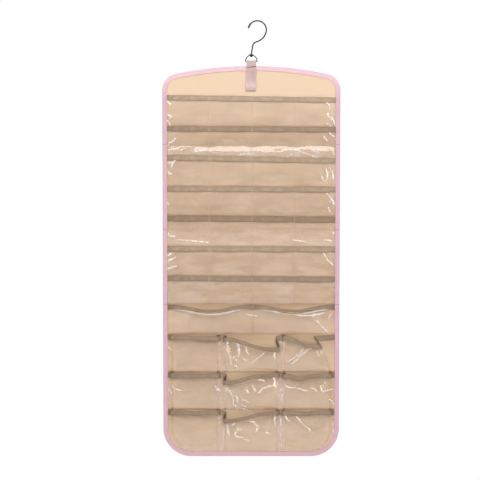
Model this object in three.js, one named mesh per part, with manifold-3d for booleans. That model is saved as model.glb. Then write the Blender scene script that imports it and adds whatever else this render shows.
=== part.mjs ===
// Hanging jewelry organizer: a fabric panel with eleven rows of clear pockets, hung from a wire hook.
// Millimetres, +Z up, pockets facing -Y. The origin is where a rail touches the crook of the hook.

import * as THREE from "three";
import { mergeVertices } from "three/addons/utils/BufferGeometryUtils.js";
import Module from "manifold-3d";

const wasm = await Module();
wasm.setup();

// Hook
const hookWireDiameter = 2.8;
const crookInnerRadius = 20.3;
const crookTipAngle = 165;
const crookSideAngle = -15;
const crookLowerRadius = 32;
const crookLowerEndAngle = -72;
const neckRadius = 12;
const shankOffset = 15;
const hookLength = 81.4;
const headDiameter = 6;
const headHeight = 2.4;
const headProfile = [
  [0, 1],
  [0.55, 0.92],
  [0.88, 0.62],
  [1, 0.3],
  [0.92, 0],
  [0, 0],
];
const tipCapLength = 11;
const tipCapWall = 0.5;
const tipCapClearance = 0.2;
const tipCapOverrun = 2;
const wireSides = 8;
const hookSteps = 48;
const headSides = 12;
const tipCapSides = 10;
const noseRings = 6;
const tipCapSteps = 4;

// D-ring
const ringWireDiameter = 2.2;
const ringInnerWidth = 25;
const ringInnerHeight = 13.1;
const ringCornerRadius = 1.6;
const eyeWidth = 12.6;
const eyeDepth = 7.8;
const eyeHeight = 4;
const eyeRimHeight = 1.6;
const eyeFlatShare = 0.5;
const eyeSides = 16;
const boreSides = 12;
const ringEndAngle = 10;
const ringSteps = 36;
const swivelClearance = 0.3;

// Webbing tab
const tabLength = 71;
const tabThickness = 1.2;
const tabSideClearance = 0.3;
const tabEdgeClearance = 1;
const barClearance = 0.3;
const tabStep = 4;
const turnSteps = 10;

// Fabric panel and its binding
const panelWidth = 425;
const panelHeight = 940;
const panelDrop = 10.7;
const archRadius = 880;
const topCornerRadius = 40;
const bottomCornerRadius = 68;
const fabricThickness = 0.6;
const boardThickness = 0.8;
const boardHeight = 62;
const boardMargin = 4;
const bindingWidth = 12;
const bindingThickness = 0.6;
const layerGap = 0.2;
const cornerSteps = 4;

// Pocket strips and the ribbons on their top edges
const filmThickness = 0.3;
const ribbonThickness = 0.4;
const ribbonWidth = 12.5;
const mouthGap = 0.8;
const rowGap = 0.3;
const endTuck = 8;
const seamInset = 1;
const seamAllowance = 2;
const firstMouth = 71.4;
const sewnSlopes = [6, 2.4, 8.4, 2.4, 3.6, 2.4, 3.6, 0, 0, 0, 0];

// Height of each pocket row as a share of the panel below the first mouth; the last row takes what is left
const rowShares = [0.0827, 0.0827, 0.0827, 0.0827, 0.0827, 0.0827, 0.0783, 0.0835, 0.1059, 0.1048];

// Seams between pockets, across the panel from its middle
const narrowRows = 7;
const narrowSeams = [-101, 2, 104];
const wideSeams = [4];
const pleatedSeams = [-71.5, 71.5];

// How far the pockets stand open and how much their rims sag
const narrowDepth = 2.6;
const wideDepth = 14;
const wideSag = 17;
const pleatedDepth = 18;
const pleatedSag = 30;
const openingRate = 0.8;
const plainBulge = 0.7;
const pleatedBulge = 0.6;
const narrowPlaces = [0.12, 0.37, 0.63, 0.88];
const widePlaces = [0.04, 0.13, 0.26, 0.4, 0.5, 0.6, 0.74, 0.87, 0.96];
const narrowLevels = [0.4];
const deepLevels = [0.25, 0.55];

// Pleats beside the seams: folded flat at the bottom of a pocket and opening towards its mouth
const pleatLap = 5.5;
const pleatUnderlap = 12.5;
const turnedLap = 38;
const turnedUnderlap = 47;
const flatFold = 0.28;
const openFold = 1.05;
const foldShare = 0.0275;
const foldSags = [0.15, 0.3, 0.45, 0.75, 0.9, 1];

// Mouths of the pleated pockets, as shares of the greatest depth and sag, the rim at five places across
const mouthPlaces = [0.14, 0.34, 0.5, 0.66, 0.86];
const pleatedMouths = [
  [
    { open: 0.5, sags: [0.07, 0.1, 0.17, 0.23, 0.27] },
    { open: 1, sags: [0.2, 0.43, 0.67, 0.87, 1] },
    { open: 0.72, sags: [0.07, 0.27, 0.5, 0.7, 0.73], rightLap: turnedLap, rightUnderlap: turnedUnderlap },
  ],
  [
    { open: 0.5, sags: [0.03, 0.07, 0.07, 0.07, 0.03] },
    { open: 0.89, sags: [0.6, 0.37, 0.17, 0.07, 0] },
    { open: 0.67, sags: [0.1, 0.3, 0.17, 0.07, 0.03] },
  ],
  [
    { open: 0.5, sags: [0, 0.03, 0.07, 0.03, 0] },
    { open: 1, sags: [0.67, 0.47, 0.3, 0.13, 0.03] },
    { open: 0.5, sags: [0.03, 0.07, 0.07, 0.03, 0] },
  ],
];

// Worked out from the sizes above
const hookWireRadius = hookWireDiameter / 2;
const ringWireRadius = ringWireDiameter / 2;
const ringHalfWidth = (ringInnerWidth + ringWireDiameter) / 2;
const ringHeight = ringInnerHeight + ringWireDiameter;
const boreRadius = hookWireRadius + swivelClearance;
const crookRadius = crookInnerRadius + hookWireRadius;
const crookCentreZ = -crookInnerRadius;
const eyeZ = -hookLength;
const barZ = eyeZ - ringHeight;
const panelTop = -panelDrop;
const panelBottom = panelTop - panelHeight;
const fabricInside = boardThickness / 2 + layerGap;
const fabricOutside = fabricInside + fabricThickness;
const ribbonReach = filmThickness / 2 + layerGap + ribbonThickness;
const seamDepth = ribbonReach + layerGap;
const hemDepth = filmThickness / 2 + layerGap;
const bindingFront = fabricOutside + seamDepth + ribbonReach + layerGap;
const bindingBack = fabricOutside + layerGap;
const rowCount = rowShares.length + 1;
const rowsHeight = panelHeight - firstMouth;
const pocketStart = panelWidth / 2 - bindingWidth - seamInset;
const stripEnd = panelWidth / 2 - bindingWidth + endTuck;

// Materials
const blackWire = new THREE.MeshStandardMaterial({ color: 0x2b2b2e, roughness: 0.35, metalness: 0.85 });
const dippedCap = new THREE.MeshStandardMaterial({ color: 0x1c1c1f, roughness: 0.6, metalness: 0 });
const webbing = new THREE.MeshStandardMaterial({ color: 0xd9b9b4, roughness: 0.9, metalness: 0 });
const creamFabric = new THREE.MeshStandardMaterial({ color: 0xf3dabc, roughness: 0.95, metalness: 0 });
const board = new THREE.MeshStandardMaterial({ color: 0xe9e6df, roughness: 0.6, metalness: 0 });
const pinkTape = new THREE.MeshStandardMaterial({ color: 0xeec8cb, roughness: 0.85, metalness: 0 });
const taupeRibbon = new THREE.MeshStandardMaterial({ color: 0xb39682, roughness: 0.8, metalness: 0 });
const clearVinyl = new THREE.MeshStandardMaterial({
  color: 0xf4efec,
  roughness: 0.08,
  metalness: 0,
  transparent: true,
  opacity: 0.25,
});

// Solids joined and cut
function solidOf(geometry) {
  const bare = geometry.clone();
  bare.deleteAttribute("normal");
  bare.deleteAttribute("uv");
  const merged = mergeVertices(bare, 1e-4);
  return new wasm.Manifold(
    new wasm.Mesh({
      numProp: 3,
      vertProperties: new Float32Array(merged.attributes.position.array),
      triVerts: new Uint32Array(merged.index.array),
    }),
  );
}

function geometryOf(solid) {
  const mesh = solid.getMesh();
  const geometry = new THREE.BufferGeometry();
  geometry.setAttribute("position", new THREE.BufferAttribute(mesh.vertProperties, 3));
  geometry.setIndex(new THREE.BufferAttribute(mesh.triVerts, 1));
  geometry.computeVertexNormals();
  return geometry;
}

function named(name, geometry, material) {
  const mesh = new THREE.Mesh(geometry, material);
  mesh.name = name;
  return mesh;
}

// An arc in the XZ plane, between two angles
class Arc extends THREE.Curve {
  constructor(x, z, radius, from, to) {
    super();
    Object.assign(this, { x, z, radius, from, to });
  }

  getPoint(t, target = new THREE.Vector3()) {
    const angle = THREE.MathUtils.lerp(this.from, this.to, t);
    return target.set(this.x + this.radius * Math.cos(angle), 0, this.z + this.radius * Math.sin(angle));
  }
}

function pathThrough(curves) {
  const path = new THREE.CurvePath();
  for (const curve of curves) {
    const last = path.curves.at(-1);
    if (last && last.getPoint(1).distanceTo(curve.getPoint(0)) > 1e-6) {
      path.add(new THREE.LineCurve3(last.getPoint(1), curve.getPoint(0)));
    }
    path.add(curve);
  }
  return path;
}

function wireAlong(path, radius, sides, steps) {
  const section = new THREE.Shape().absarc(0, 0, radius, 0, Math.PI * 2);
  return new THREE.ExtrudeGeometry(section, { extrudePath: path, curveSegments: sides / 2, steps });
}

// A solid through a row of equal sections along +X. A section runs along one side of a wall and back along
// the other, which closes the ends. Each four-sided face is split from its lower point on one section to its
// upper point on the next, so that walls that face each other bend alike.
function loft(given) {
  const outline = given[0].map((point) => new THREE.Vector2(point.y, point.z));
  const clockwise = THREE.ShapeUtils.isClockWise(outline);
  const sections = clockwise ? given.map((section) => [...section].reverse()) : given;
  const count = outline.length;
  const positions = sections.flat().flatMap((point) => [point.x, point.y, point.z]);
  const index = [];
  for (let i = 0; i + 1 < sections.length; i++) {
    for (let j = 0; j < count; j++) {
      const a = i * count + j;
      const b = i * count + ((j + 1) % count);
      const c = a + count;
      const d = b + count;
      const rising = sections[i][j].z < sections[i][(j + 1) % count].z;
      index.push(...(rising ? [a, b, d, a, d, c] : [a, b, c, b, d, c]));
    }
  }
  const last = (sections.length - 1) * count;
  for (let j = 0; j + 1 < count / 2; j++) {
    const facing = count - 1 - j;
    index.push(facing, j + 1, j, facing, facing - 1, j + 1);
    index.push(last + j, last + j + 1, last + facing, last + j + 1, last + facing - 1, last + facing);
  }
  const geometry = new THREE.BufferGeometry();
  geometry.setAttribute("position", new THREE.Float32BufferAttribute(positions, 3));
  geometry.setIndex(index);
  geometry.computeVertexNormals();
  return geometry;
}

// A line in a plane, moved sideways by a distance and mitred at its corners
function offsetLine(points, distance) {
  return points.map((point, i) => {
    const before = points[Math.max(i - 1, 0)];
    const after = points[Math.min(i + 1, points.length - 1)];
    const incoming = new THREE.Vector2().subVectors(point, before).normalize();
    const outgoing = new THREE.Vector2().subVectors(after, point).normalize();
    if (i === 0) {
      incoming.copy(outgoing);
    }
    if (i === points.length - 1) {
      outgoing.copy(incoming);
    }
    const along = incoming.clone().add(outgoing).normalize();
    const mitre = distance / along.dot(incoming);
    return new THREE.Vector2(point.x - along.y * mitre, point.y + along.x * mitre);
  });
}

// Hook: crook, swan neck and straight shank, whose end is riveted over into a head
function hookPath() {
  const lower = crookLowerRadius - crookRadius;
  const tip = THREE.MathUtils.degToRad(crookTipAngle);
  const side = THREE.MathUtils.degToRad(crookSideAngle);
  const lowerX = -lower * Math.cos(side);
  const lowerZ = crookCentreZ - lower * Math.sin(side);
  const end = THREE.MathUtils.degToRad(crookLowerEndAngle);
  const leave = new THREE.Vector2(Math.cos(end), Math.sin(end));
  const neckX = neckRadius - shankOffset;
  const startX = lowerX + crookLowerRadius * leave.x;
  const startZ = lowerZ + crookLowerRadius * leave.y;
  const run = (startX + neckRadius * leave.x - neckX) / -leave.y;
  const neckZ = startZ + neckRadius * leave.y - run * leave.x;
  return pathThrough([
    new Arc(0, crookCentreZ, crookRadius, tip, side),
    new Arc(lowerX, lowerZ, crookLowerRadius, side, end),
    new Arc(neckX, neckZ, neckRadius, Math.PI + end, Math.PI),
    new THREE.LineCurve3(
      new THREE.Vector3(-shankOffset, 0, neckZ),
      new THREE.Vector3(-shankOffset, 0, eyeZ - eyeHeight / 2 - swivelClearance - headHeight / 2),
    ),
  ]);
}

function hook() {
  const top = eyeZ - eyeHeight / 2 - swivelClearance;
  const radius = headDiameter / 2;
  const dome = headProfile.map(([out, down]) => new THREE.Vector2(out * radius, -down * headHeight));
  const head = new THREE.LatheGeometry(dome, headSides).rotateX(Math.PI / 2);
  head.translate(-shankOffset, 0, top);
  const wire = wireAlong(hookPath(), hookWireRadius, wireSides, hookSteps);
  return geometryOf(solidOf(wire).add(solidOf(head)));
}

// Tip cap: a dipped sleeve round the end of the crook, with a round nose
function tipCap() {
  const bore = hookWireRadius + tipCapClearance;
  const outer = bore + tipCapWall;
  const tip = THREE.MathUtils.degToRad(crookTipAngle);
  const wireEnd = tip + tipCapClearance / crookRadius;
  const mouth = tip - tipCapLength / crookRadius;
  const sleeve = new Arc(0, crookCentreZ, crookRadius, mouth, wireEnd);
  const hollow = new Arc(0, crookCentreZ, crookRadius, mouth - tipCapOverrun / crookRadius, wireEnd);
  const nose = new THREE.SphereGeometry(outer, tipCapSides, noseRings);
  const end = sleeve.getPoint(1);
  nose.translate(end.x, end.y, end.z);
  const body = solidOf(wireAlong(sleeve, outer, tipCapSides, tipCapSteps)).add(solidOf(nose));
  return geometryOf(body.subtract(solidOf(wireAlong(hollow, bore, tipCapSides, tipCapSteps))));
}

// D-ring: straight bar below, half-round arc above, flattened into a bored eye at the top of the arc
function ringPath() {
  const arcZ = ringHeight - ringHalfWidth;
  const corner = ringHalfWidth - ringCornerRadius;
  const quarter = Math.PI / 2;
  const end = quarter - THREE.MathUtils.degToRad(ringEndAngle);
  return pathThrough([
    new Arc(0, arcZ, ringHalfWidth, end, 0),
    new Arc(corner, ringCornerRadius, ringCornerRadius, 0, -quarter),
    new Arc(-corner, ringCornerRadius, ringCornerRadius, -quarter, -Math.PI),
    new Arc(0, arcZ, ringHalfWidth, Math.PI, Math.PI - end),
  ]);
}

function dRing() {
  const half = eyeWidth / 2;
  const rim = eyeRimHeight / 2;
  const profile = [
    new THREE.Vector2(0, -eyeHeight / 2),
    new THREE.Vector2(half * eyeFlatShare, -eyeHeight / 2),
    new THREE.Vector2(half, -rim),
    new THREE.Vector2(half, rim),
    new THREE.Vector2(half * eyeFlatShare, eyeHeight / 2),
    new THREE.Vector2(0, eyeHeight / 2),
  ];
  const eye = new THREE.LatheGeometry(profile, eyeSides).rotateX(Math.PI / 2);
  eye.scale(1, eyeDepth / eyeWidth, 1).translate(0, 0, ringHeight);
  const bore = new THREE.CylinderGeometry(boreRadius, boreRadius, eyeHeight * 2, boreSides);
  bore.rotateX(Math.PI / 2).translate(0, 0, ringHeight);
  const wire = wireAlong(ringPath(), ringWireRadius, wireSides, ringSteps);
  return geometryOf(solidOf(wire).add(solidOf(eye)).subtract(solidOf(bore)));
}

// Webbing tab: up the front, over the bar and down the back, stepping in below the binding
function hangingTab() {
  const half = tabThickness / 2;
  const loop = ringWireRadius + barClearance + half;
  const flat = fabricOutside + layerGap + half;
  const overFront = bindingFront + bindingThickness + layerGap + half;
  const overBack = bindingBack + bindingThickness + layerGap + half;
  const edgeTop = panelTop + tabEdgeClearance;
  const edgeBottom = panelTop - bindingWidth - layerGap;
  const end = -tabLength;
  const leg = (over) => [
    new THREE.Vector2(loop, -loop),
    new THREE.Vector2(over, edgeTop),
    new THREE.Vector2(over, edgeBottom),
    new THREE.Vector2(flat, edgeBottom - tabStep),
    new THREE.Vector2(flat, end),
  ];
  const front = leg(overFront).map((point) => new THREE.Vector2(-point.x, point.y));
  const turn = new THREE.EllipseCurve(0, 0, loop, loop, Math.PI, 0, true).getPoints(turnSteps);
  const middle = [...front.reverse(), ...turn, ...leg(overBack)];
  const outline = [...offsetLine(middle, half), ...offsetLine(middle, -half).reverse()];
  const width = ringInnerWidth + ringWireDiameter - 2 * ringCornerRadius - 2 * tabSideClearance;
  const geometry = new THREE.ExtrudeGeometry(new THREE.Shape(outline), { depth: width, bevelEnabled: false });
  geometry.translate(0, 0, -width / 2);
  const [x, y, z] = [new THREE.Vector3(1, 0, 0), new THREE.Vector3(0, 1, 0), new THREE.Vector3(0, 0, 1)];
  return geometry.applyMatrix4(new THREE.Matrix4().makeBasis(y, z, x));
}

// Outline of the panel, moved inwards: arched top, round corners
function topArcs(shape, inset) {
  const cornerX = panelWidth / 2 - topCornerRadius;
  const rise = Math.sqrt((archRadius - topCornerRadius) ** 2 - cornerX ** 2);
  const archZ = panelTop - archRadius;
  const turn = Math.atan2(rise, cornerX);
  shape.absarc(cornerX, archZ + rise, topCornerRadius - inset, 0, turn);
  shape.absarc(0, archZ, archRadius - inset, turn, Math.PI - turn);
  shape.absarc(-cornerX, archZ + rise, topCornerRadius - inset, Math.PI - turn, Math.PI);
}

function panelShape(inset) {
  const cornerX = panelWidth / 2 - bottomCornerRadius;
  const cornerZ = panelBottom + bottomCornerRadius;
  const shape = new THREE.Shape();
  shape.absarc(cornerX, cornerZ, bottomCornerRadius - inset, -Math.PI / 2, 0);
  topArcs(shape, inset);
  shape.absarc(-cornerX, cornerZ, bottomCornerRadius - inset, Math.PI, Math.PI * 1.5);
  return shape;
}

function boardShape() {
  const half = panelWidth / 2 - boardMargin;
  const bottom = panelTop - boardMargin - boardHeight;
  const shape = new THREE.Shape();
  shape.moveTo(half, bottom);
  topArcs(shape, boardMargin);
  shape.lineTo(-half, bottom);
  return shape;
}

// A flat layer of the panel between two places in depth, front first
function layer(shape, front, back) {
  const options = { depth: back - front, bevelEnabled: false, curveSegments: cornerSteps };
  return new THREE.ExtrudeGeometry(shape, options).rotateX(Math.PI / 2).translate(0, back, 0);
}

function edgeBinding() {
  const outer = layer(panelShape(0), -bindingFront - bindingThickness, bindingBack + bindingThickness);
  const groove = layer(panelShape(bindingThickness), -bindingFront, bindingBack);
  const window = layer(panelShape(bindingWidth), -2 * bindingFront, 2 * bindingFront);
  return geometryOf(solidOf(outer).subtract(solidOf(groove)).subtract(solidOf(window)));
}

// Half the panel's width at a height, moved inwards, which shrinks in the round bottom corners
function halfWidthAt(z, inset) {
  const cornerX = panelWidth / 2 - bottomCornerRadius;
  const below = Math.max(panelBottom + bottomCornerRadius - z, 0);
  return cornerX + Math.sqrt(Math.max((bottomCornerRadius - inset) ** 2 - below ** 2, 0));
}

// The line that a row's top edge is sewn along, as a height across the panel
function mouthLine(row, x) {
  const above = rowShares.slice(0, row).reduce((sum, share) => sum + share, 0);
  const middle = panelTop - firstMouth - above * rowsHeight;
  return middle - (sewnSlopes[row] * x) / panelWidth;
}

// A plain pocket across a strip: points from its left seam, each with its place, depth and sag
function plainPocket(from, to, places, depth, sag) {
  const rise = (share) => Math.sin(Math.PI * share) ** plainBulge;
  return places.map((share) => ({
    x: THREE.MathUtils.lerp(from, to, share),
    lift: (open) => depth * open * rise(share),
    sag: sag * Math.sin(Math.PI * share) ** 2,
  }));
}

// A pleated pocket: at each side the strip laps under itself and back before it crosses the front
function pleatedPocket(from, to, mouth) {
  const { open: openness, sags, rightLap = pleatLap, rightUnderlap = pleatUnderlap } = mouth;
  const depth = openness * pleatedDepth;
  const fold = (open) => THREE.MathUtils.lerp(flatFold, openFold + foldShare * depth, open);
  const side = (seam, turn, lap, underlap, sag) => [
    { at: (r) => seam + turn * (underlap - r), layers: 0, sag: sag * foldSags[0] },
    { at: () => seam + turn * underlap, layers: 1, sag: sag * foldSags[1] },
    { at: (r) => seam + turn * (underlap - r), layers: 2, sag: sag * foldSags[2] },
    { at: (r) => seam + turn * (lap + r), layers: 2, sag: sag * foldSags[3] },
    { at: () => seam + turn * lap, layers: 3, sag: sag * foldSags[4] },
    { at: (r) => seam + turn * (lap + r), layers: layersUp, sag: sag * foldSags[5] },
  ];
  const layersUp = foldSags.length - 2;
  const folded = (point) => ({
    place: (open) => point.at(fold(open)),
    lift: (open) => point.layers * fold(open),
    sag: point.sag * pleatedSag,
  });
  const left = side(from, 1, pleatLap, pleatUnderlap, sags[0]).map(folded);
  const right = side(to, -1, rightLap, rightUnderlap, sags.at(-1)).map(folded).reverse();
  const start = from + pleatLap;
  const end = to - rightLap;
  const front = mouthPlaces.map((share, i) => ({
    x: THREE.MathUtils.lerp(start, end, share),
    lift: (open) => {
      const reach = THREE.MathUtils.lerp(layersUp * flatFold, depth, open);
      const folds = layersUp * fold(open);
      return folds + (reach - folds) * Math.sin(Math.PI * share) ** pleatedBulge;
    },
    sag: sags[i] * pleatedSag,
  }));
  return [...left, ...front, ...right];
}

// All points across a row, from one end under the binding to the other
function stripPoints(row) {
  const flat = (x) => ({ x, lift: () => 0, sag: 0 });
  const pleated = row - narrowRows - 1;
  let seams = narrowSeams;
  let pocket = (from, to) => plainPocket(from, to, narrowPlaces, narrowDepth, 0);
  if (row === narrowRows) {
    seams = wideSeams;
    pocket = (from, to) => plainPocket(from, to, widePlaces, wideDepth, wideSag);
  }
  if (row > narrowRows) {
    seams = pleatedSeams;
    pocket = (from, to, i) => pleatedPocket(from, to, pleatedMouths[pleated][i]);
  }
  const edges = [-pocketStart, ...seams, pocketStart];
  const points = [flat(-stripEnd)];
  for (let i = 0; i + 1 < edges.length; i++) {
    points.push(flat(edges[i]), ...pocket(edges[i], edges[i + 1], i));
  }
  points.push(flat(pocketStart), flat(stripEnd));
  return points;
}

// How much of a strip lies flat at its bottom; the last one's goes under the binding
function hemHeight(row) {
  return row + 1 === rowCount ? endTuck + seamInset : seamAllowance;
}

// Where a strip lies at one level: a share of its height from 0 at the seam below to 1 at the mouth
function stripLevel(row, shareOf) {
  const last = row + 1 === rowCount;
  const hem = hemHeight(row);
  return stripPoints(row).map((point) => {
    const wide = point.x ?? point.place(0);
    const top = mouthLine(row, wide) - point.sag - ribbonThickness - mouthGap;
    const bottom = last ? panelBottom + bindingWidth - endTuck : mouthLine(row + 1, wide) + rowGap;
    const share = shareOf(top - bottom);
    const z = THREE.MathUtils.lerp(bottom, top, share);
    const trimShare = 1 - ribbonWidth / (top - bottom);
    const above = Math.max(z - bottom - hem, 0) / (top - bottom - hem);
    const open = Math.sin((Math.PI / 2) * above) ** openingRate;
    const x = point.x ?? point.place(open);
    const narrowed = narrowedTo(x, z);
    const base = THREE.MathUtils.lerp(hemDepth, seamDepth, Math.min(share / trimShare, 1));
    return { x: narrowed, depth: base + point.lift(open), z };
  });
}

// Draws a strip's ends in where the round bottom corners narrow the panel
function narrowedTo(x, z) {
  const free = pleatedSeams[1] + pleatUnderlap;
  const beyond = Math.abs(x) - free;
  if (beyond <= 0) {
    return x;
  }
  const inner = halfWidthAt(z, bindingWidth + seamInset);
  if (Math.abs(x) > pocketStart) {
    return Math.sign(x) * Math.max(halfWidthAt(z, bindingWidth - endTuck), inner + seamInset);
  }
  return Math.sign(x) * (free + (beyond * (inner - free)) / (pocketStart - free));
}

// A level of a strip moved towards the back by a distance, as points in space
function offsetLevel(level, distance, lift = 0) {
  const plan = level.map((point) => new THREE.Vector2(point.x, -fabricOutside - point.depth));
  return offsetLine(plan, distance).map((point, i) => new THREE.Vector3(point.x, point.y, level[i].z + lift));
}

const atMouth = () => 1;
const atRibbonEdge = (height) => 1 - (ribbonWidth - ribbonThickness - mouthGap) / height;

function pocketStrip(row) {
  const atHem = (height) => hemHeight(row) / height;
  const between = (row < narrowRows ? narrowLevels : deepLevels).map((share) => () => share);
  const lower = row < narrowRows ? between : [atHem, ...between];
  const levels = [() => 0, ...lower, atRibbonEdge, atMouth];
  const placed = levels.map((shareOf) => stripLevel(row, shareOf));
  const front = placed.map((level) => offsetLevel(level, -filmThickness / 2));
  const back = placed.map((level) => offsetLevel(level, filmThickness / 2));
  const sections = front[0].map((_, i) => [
    ...front.map((level) => level[i]),
    ...back.map((level) => level[i]).reverse(),
  ]);
  return loft(sections);
}

function ribbon(row) {
  const edge = stripLevel(row, atRibbonEdge);
  const mouth = stripLevel(row, atMouth);
  const inner = filmThickness / 2 + layerGap;
  const walls = [
    offsetLevel(edge, -ribbonReach),
    offsetLevel(mouth, -ribbonReach, mouthGap + ribbonThickness),
    offsetLevel(mouth, ribbonReach, mouthGap + ribbonThickness),
    offsetLevel(edge, ribbonReach),
    offsetLevel(edge, inner),
    offsetLevel(mouth, inner, mouthGap),
    offsetLevel(mouth, -inner, mouthGap),
    offsetLevel(edge, -inner),
  ];
  return loft(walls[0].map((_, i) => walls.map((wall) => wall[i])));
}

// The whole organizer: the hook holds the ring, and the ring's bar holds the panel
const organizer = new THREE.Group();
organizer.add(named("hook", hook(), blackWire));
organizer.add(named("hook_tip_cap", tipCap(), dippedCap));

const ringGroup = new THREE.Group();
ringGroup.position.set(-shankOffset, 0, barZ);
ringGroup.add(named("d_ring", dRing(), blackWire));
organizer.add(ringGroup);

const panel = new THREE.Group();
panel.add(named("hanging_tab", hangingTab(), webbing));
panel.add(named("stiffener_board", layer(boardShape(), -boardThickness / 2, boardThickness / 2), board));
const fabricShape = panelShape(bindingThickness + layerGap);
panel.add(named("front_fabric", layer(fabricShape, -fabricOutside, -fabricInside), creamFabric));
panel.add(named("back_fabric", layer(fabricShape, fabricInside, fabricOutside), creamFabric));
panel.add(named("edge_binding", edgeBinding(), pinkTape));
for (let row = 0; row < rowCount; row++) {
  panel.add(named(`pocket_row_${row + 1}`, pocketStrip(row), clearVinyl));
  panel.add(named(`trim_row_${row + 1}`, ribbon(row), taupeRibbon));
}
ringGroup.add(panel);

export default organizer;
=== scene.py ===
# Hanging jewelry organizer: the looks of a cream fabric panel with eleven rows of clear vinyl pockets, pink
# edge binding, taupe ribbon trims, a webbing tab, a D-ring and a swivelling wire hook. Metres, +Z up.
import math

import bpy
import numpy as np
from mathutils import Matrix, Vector


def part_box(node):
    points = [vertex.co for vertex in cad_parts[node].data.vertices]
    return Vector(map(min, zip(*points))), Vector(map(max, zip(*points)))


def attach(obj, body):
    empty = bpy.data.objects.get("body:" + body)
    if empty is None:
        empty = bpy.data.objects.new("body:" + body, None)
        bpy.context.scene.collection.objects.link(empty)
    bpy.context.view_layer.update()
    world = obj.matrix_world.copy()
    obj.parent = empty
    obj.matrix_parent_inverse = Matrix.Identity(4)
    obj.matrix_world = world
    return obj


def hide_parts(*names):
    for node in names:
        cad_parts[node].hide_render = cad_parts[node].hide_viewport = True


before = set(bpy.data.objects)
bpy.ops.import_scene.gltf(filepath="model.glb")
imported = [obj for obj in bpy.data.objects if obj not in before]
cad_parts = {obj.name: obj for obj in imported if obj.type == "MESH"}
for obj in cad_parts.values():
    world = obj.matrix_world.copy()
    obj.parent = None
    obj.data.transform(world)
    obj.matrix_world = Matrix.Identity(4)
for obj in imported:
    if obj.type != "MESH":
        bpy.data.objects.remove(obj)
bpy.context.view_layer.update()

# Camera: it stands a little above the middle of the panel and
# looks almost level, as the photograph was taken.
camera_aim = Vector((-0.042, 0.0, -0.5225))
camera_distance = 2.735
camera_rise = math.radians(3.0)
camera_back = Vector((0.0, -math.cos(camera_rise), math.sin(camera_rise)))
camera_place = camera_aim + camera_distance * camera_back
bpy.ops.object.camera_add(location=camera_place, rotation=(math.pi / 2 - camera_rise, 0.0, 0.0))
camera = bpy.context.object
camera.data.sensor_width = 36.0
camera.data.lens = 85.35
bpy.context.scene.camera = camera

# Studio: a pale floor below the hanging panel, a white surround that is dim
# only round the camera, a large soft lamp above the camera and a tall narrow
# one at each side, which draw the bright lines on the vinyl's creases.
floor_height = -2.1
floor_size = 6.0
surround_greys = (0.1, 0.5)
lamp_reach = 2.6
side_lamp = {"elevation": 5.0, "size": (0.36, 3.2), "power": 17.0, "colour": (1.0, 0.96, 0.96)}


class Value:
    """A number on a socket of a finish; +, -, *, /, ** and abs() add the Math node for it."""

    def __init__(self, finish, socket):
        self.finish = finish
        self.socket = socket

    def __add__(self, other):
        return self.finish.maths("ADD", self, other)

    def __sub__(self, other):
        return self.finish.maths("SUBTRACT", self, other)

    def __rsub__(self, other):
        return self.finish.maths("SUBTRACT", other, self)

    def __mul__(self, other):
        return self.finish.maths("MULTIPLY", self, other)

    def __truediv__(self, other):
        return self.finish.maths("DIVIDE", self, other)

    def __pow__(self, other):
        return self.finish.maths("POWER", self, other)

    def __abs__(self):
        return self.finish.maths("ABSOLUTE", self, 0.0)

    __radd__ = __add__
    __rmul__ = __mul__


class Finish:
    """A material or a surround in the making. node() adds one node and sets or links its sockets."""

    def __init__(self, holder):
        holder.use_nodes = True
        self.holder = holder
        self.tree = holder.node_tree
        self.tree.nodes.clear()

    def node(self, kind, sockets=None, out=0, **settings):
        made = self.tree.nodes.new("ShaderNode" + kind)
        for name, setting in settings.items():
            setattr(made, name, setting)
        for name, value in (sockets or {}).items():
            if isinstance(value, Value):
                self.tree.links.new(value.socket, made.inputs[name])
            else:
                made.inputs[name].default_value = value
        return Value(self, made.outputs[out]) if made.outputs else self.holder

    def maths(self, operation, first, second):
        return self.node("Math", {0: first, 1: second}, operation=operation)

    def ramp(self, value, start, end, low=0.0, high=1.0, **settings):
        return self.node("MapRange", {0: value, 1: start, 2: end, 3: low, 4: high}, **settings)

    def tint(self, share, low, high):
        return self.node("Mix", {0: share, 6: low, 7: high}, out=2, data_type="RGBA")

    def attribute(self, name):
        return self.node("Attribute", out="Fac", attribute_name=name)

    def toned(self, colour, green, blue):
        """A colour times the piece's painted shade value, raised to a power for the green and for the blue.
        """
        shade_tone = self.attribute("shade_tone")
        depth = self.node("CombineXYZ", {0: shade_tone, 1: shade_tone**green, 2: shade_tone**blue})
        return self.node("VectorMath", {0: colour, 1: depth}, operation="MULTIPLY")

    def speckle(self, place, scale, detail=3.0, rough=0.55):
        sockets = {"Vector": place, "Scale": scale, "Detail": detail, "Roughness": rough}
        return self.node("TexNoise", sockets)

    def stripes(self, place, direction, pitch):
        """Smooth ridges across X, Y or Z, one for each pitch, from 0 to 1."""
        sockets = {"Vector": place, "Scale": math.pi / 10 / pitch}
        return self.node("TexWave", sockets, out="Fac", bands_direction=direction)

    def surface(self, shader):
        return self.node("OutputMaterial", {"Surface": shader})

    def cover(self, colour, rough, marks=0.0, strength=0.0, distance=0.0, metal=0.0, sheen=(0.0, 0.5)):
        """A finished surface. Marks stand out by a share of a distance; sheen is its weight and roughness."""
        relief = self.node("Bump", {"Height": marks, "Strength": strength, "Distance": distance})
        sockets = {"Base Color": colour, "Roughness": rough, "Metallic": metal, "Normal": relief}
        sockets.update({"Sheen Weight": sheen[0], "Sheen Roughness": sheen[1]})
        return self.surface(self.node("BsdfPrincipled", sockets))


def start_finish(name, cloth=False):
    """A new material, and places on its pieces: in the piece's own space, or along and across its cloth."""
    finish = Finish(bpy.data.materials.new(name))
    place = finish.node("UVMap", uv_map="cloth") if cloth else finish.node("TexCoord", out="Object")
    return finish, place


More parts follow.
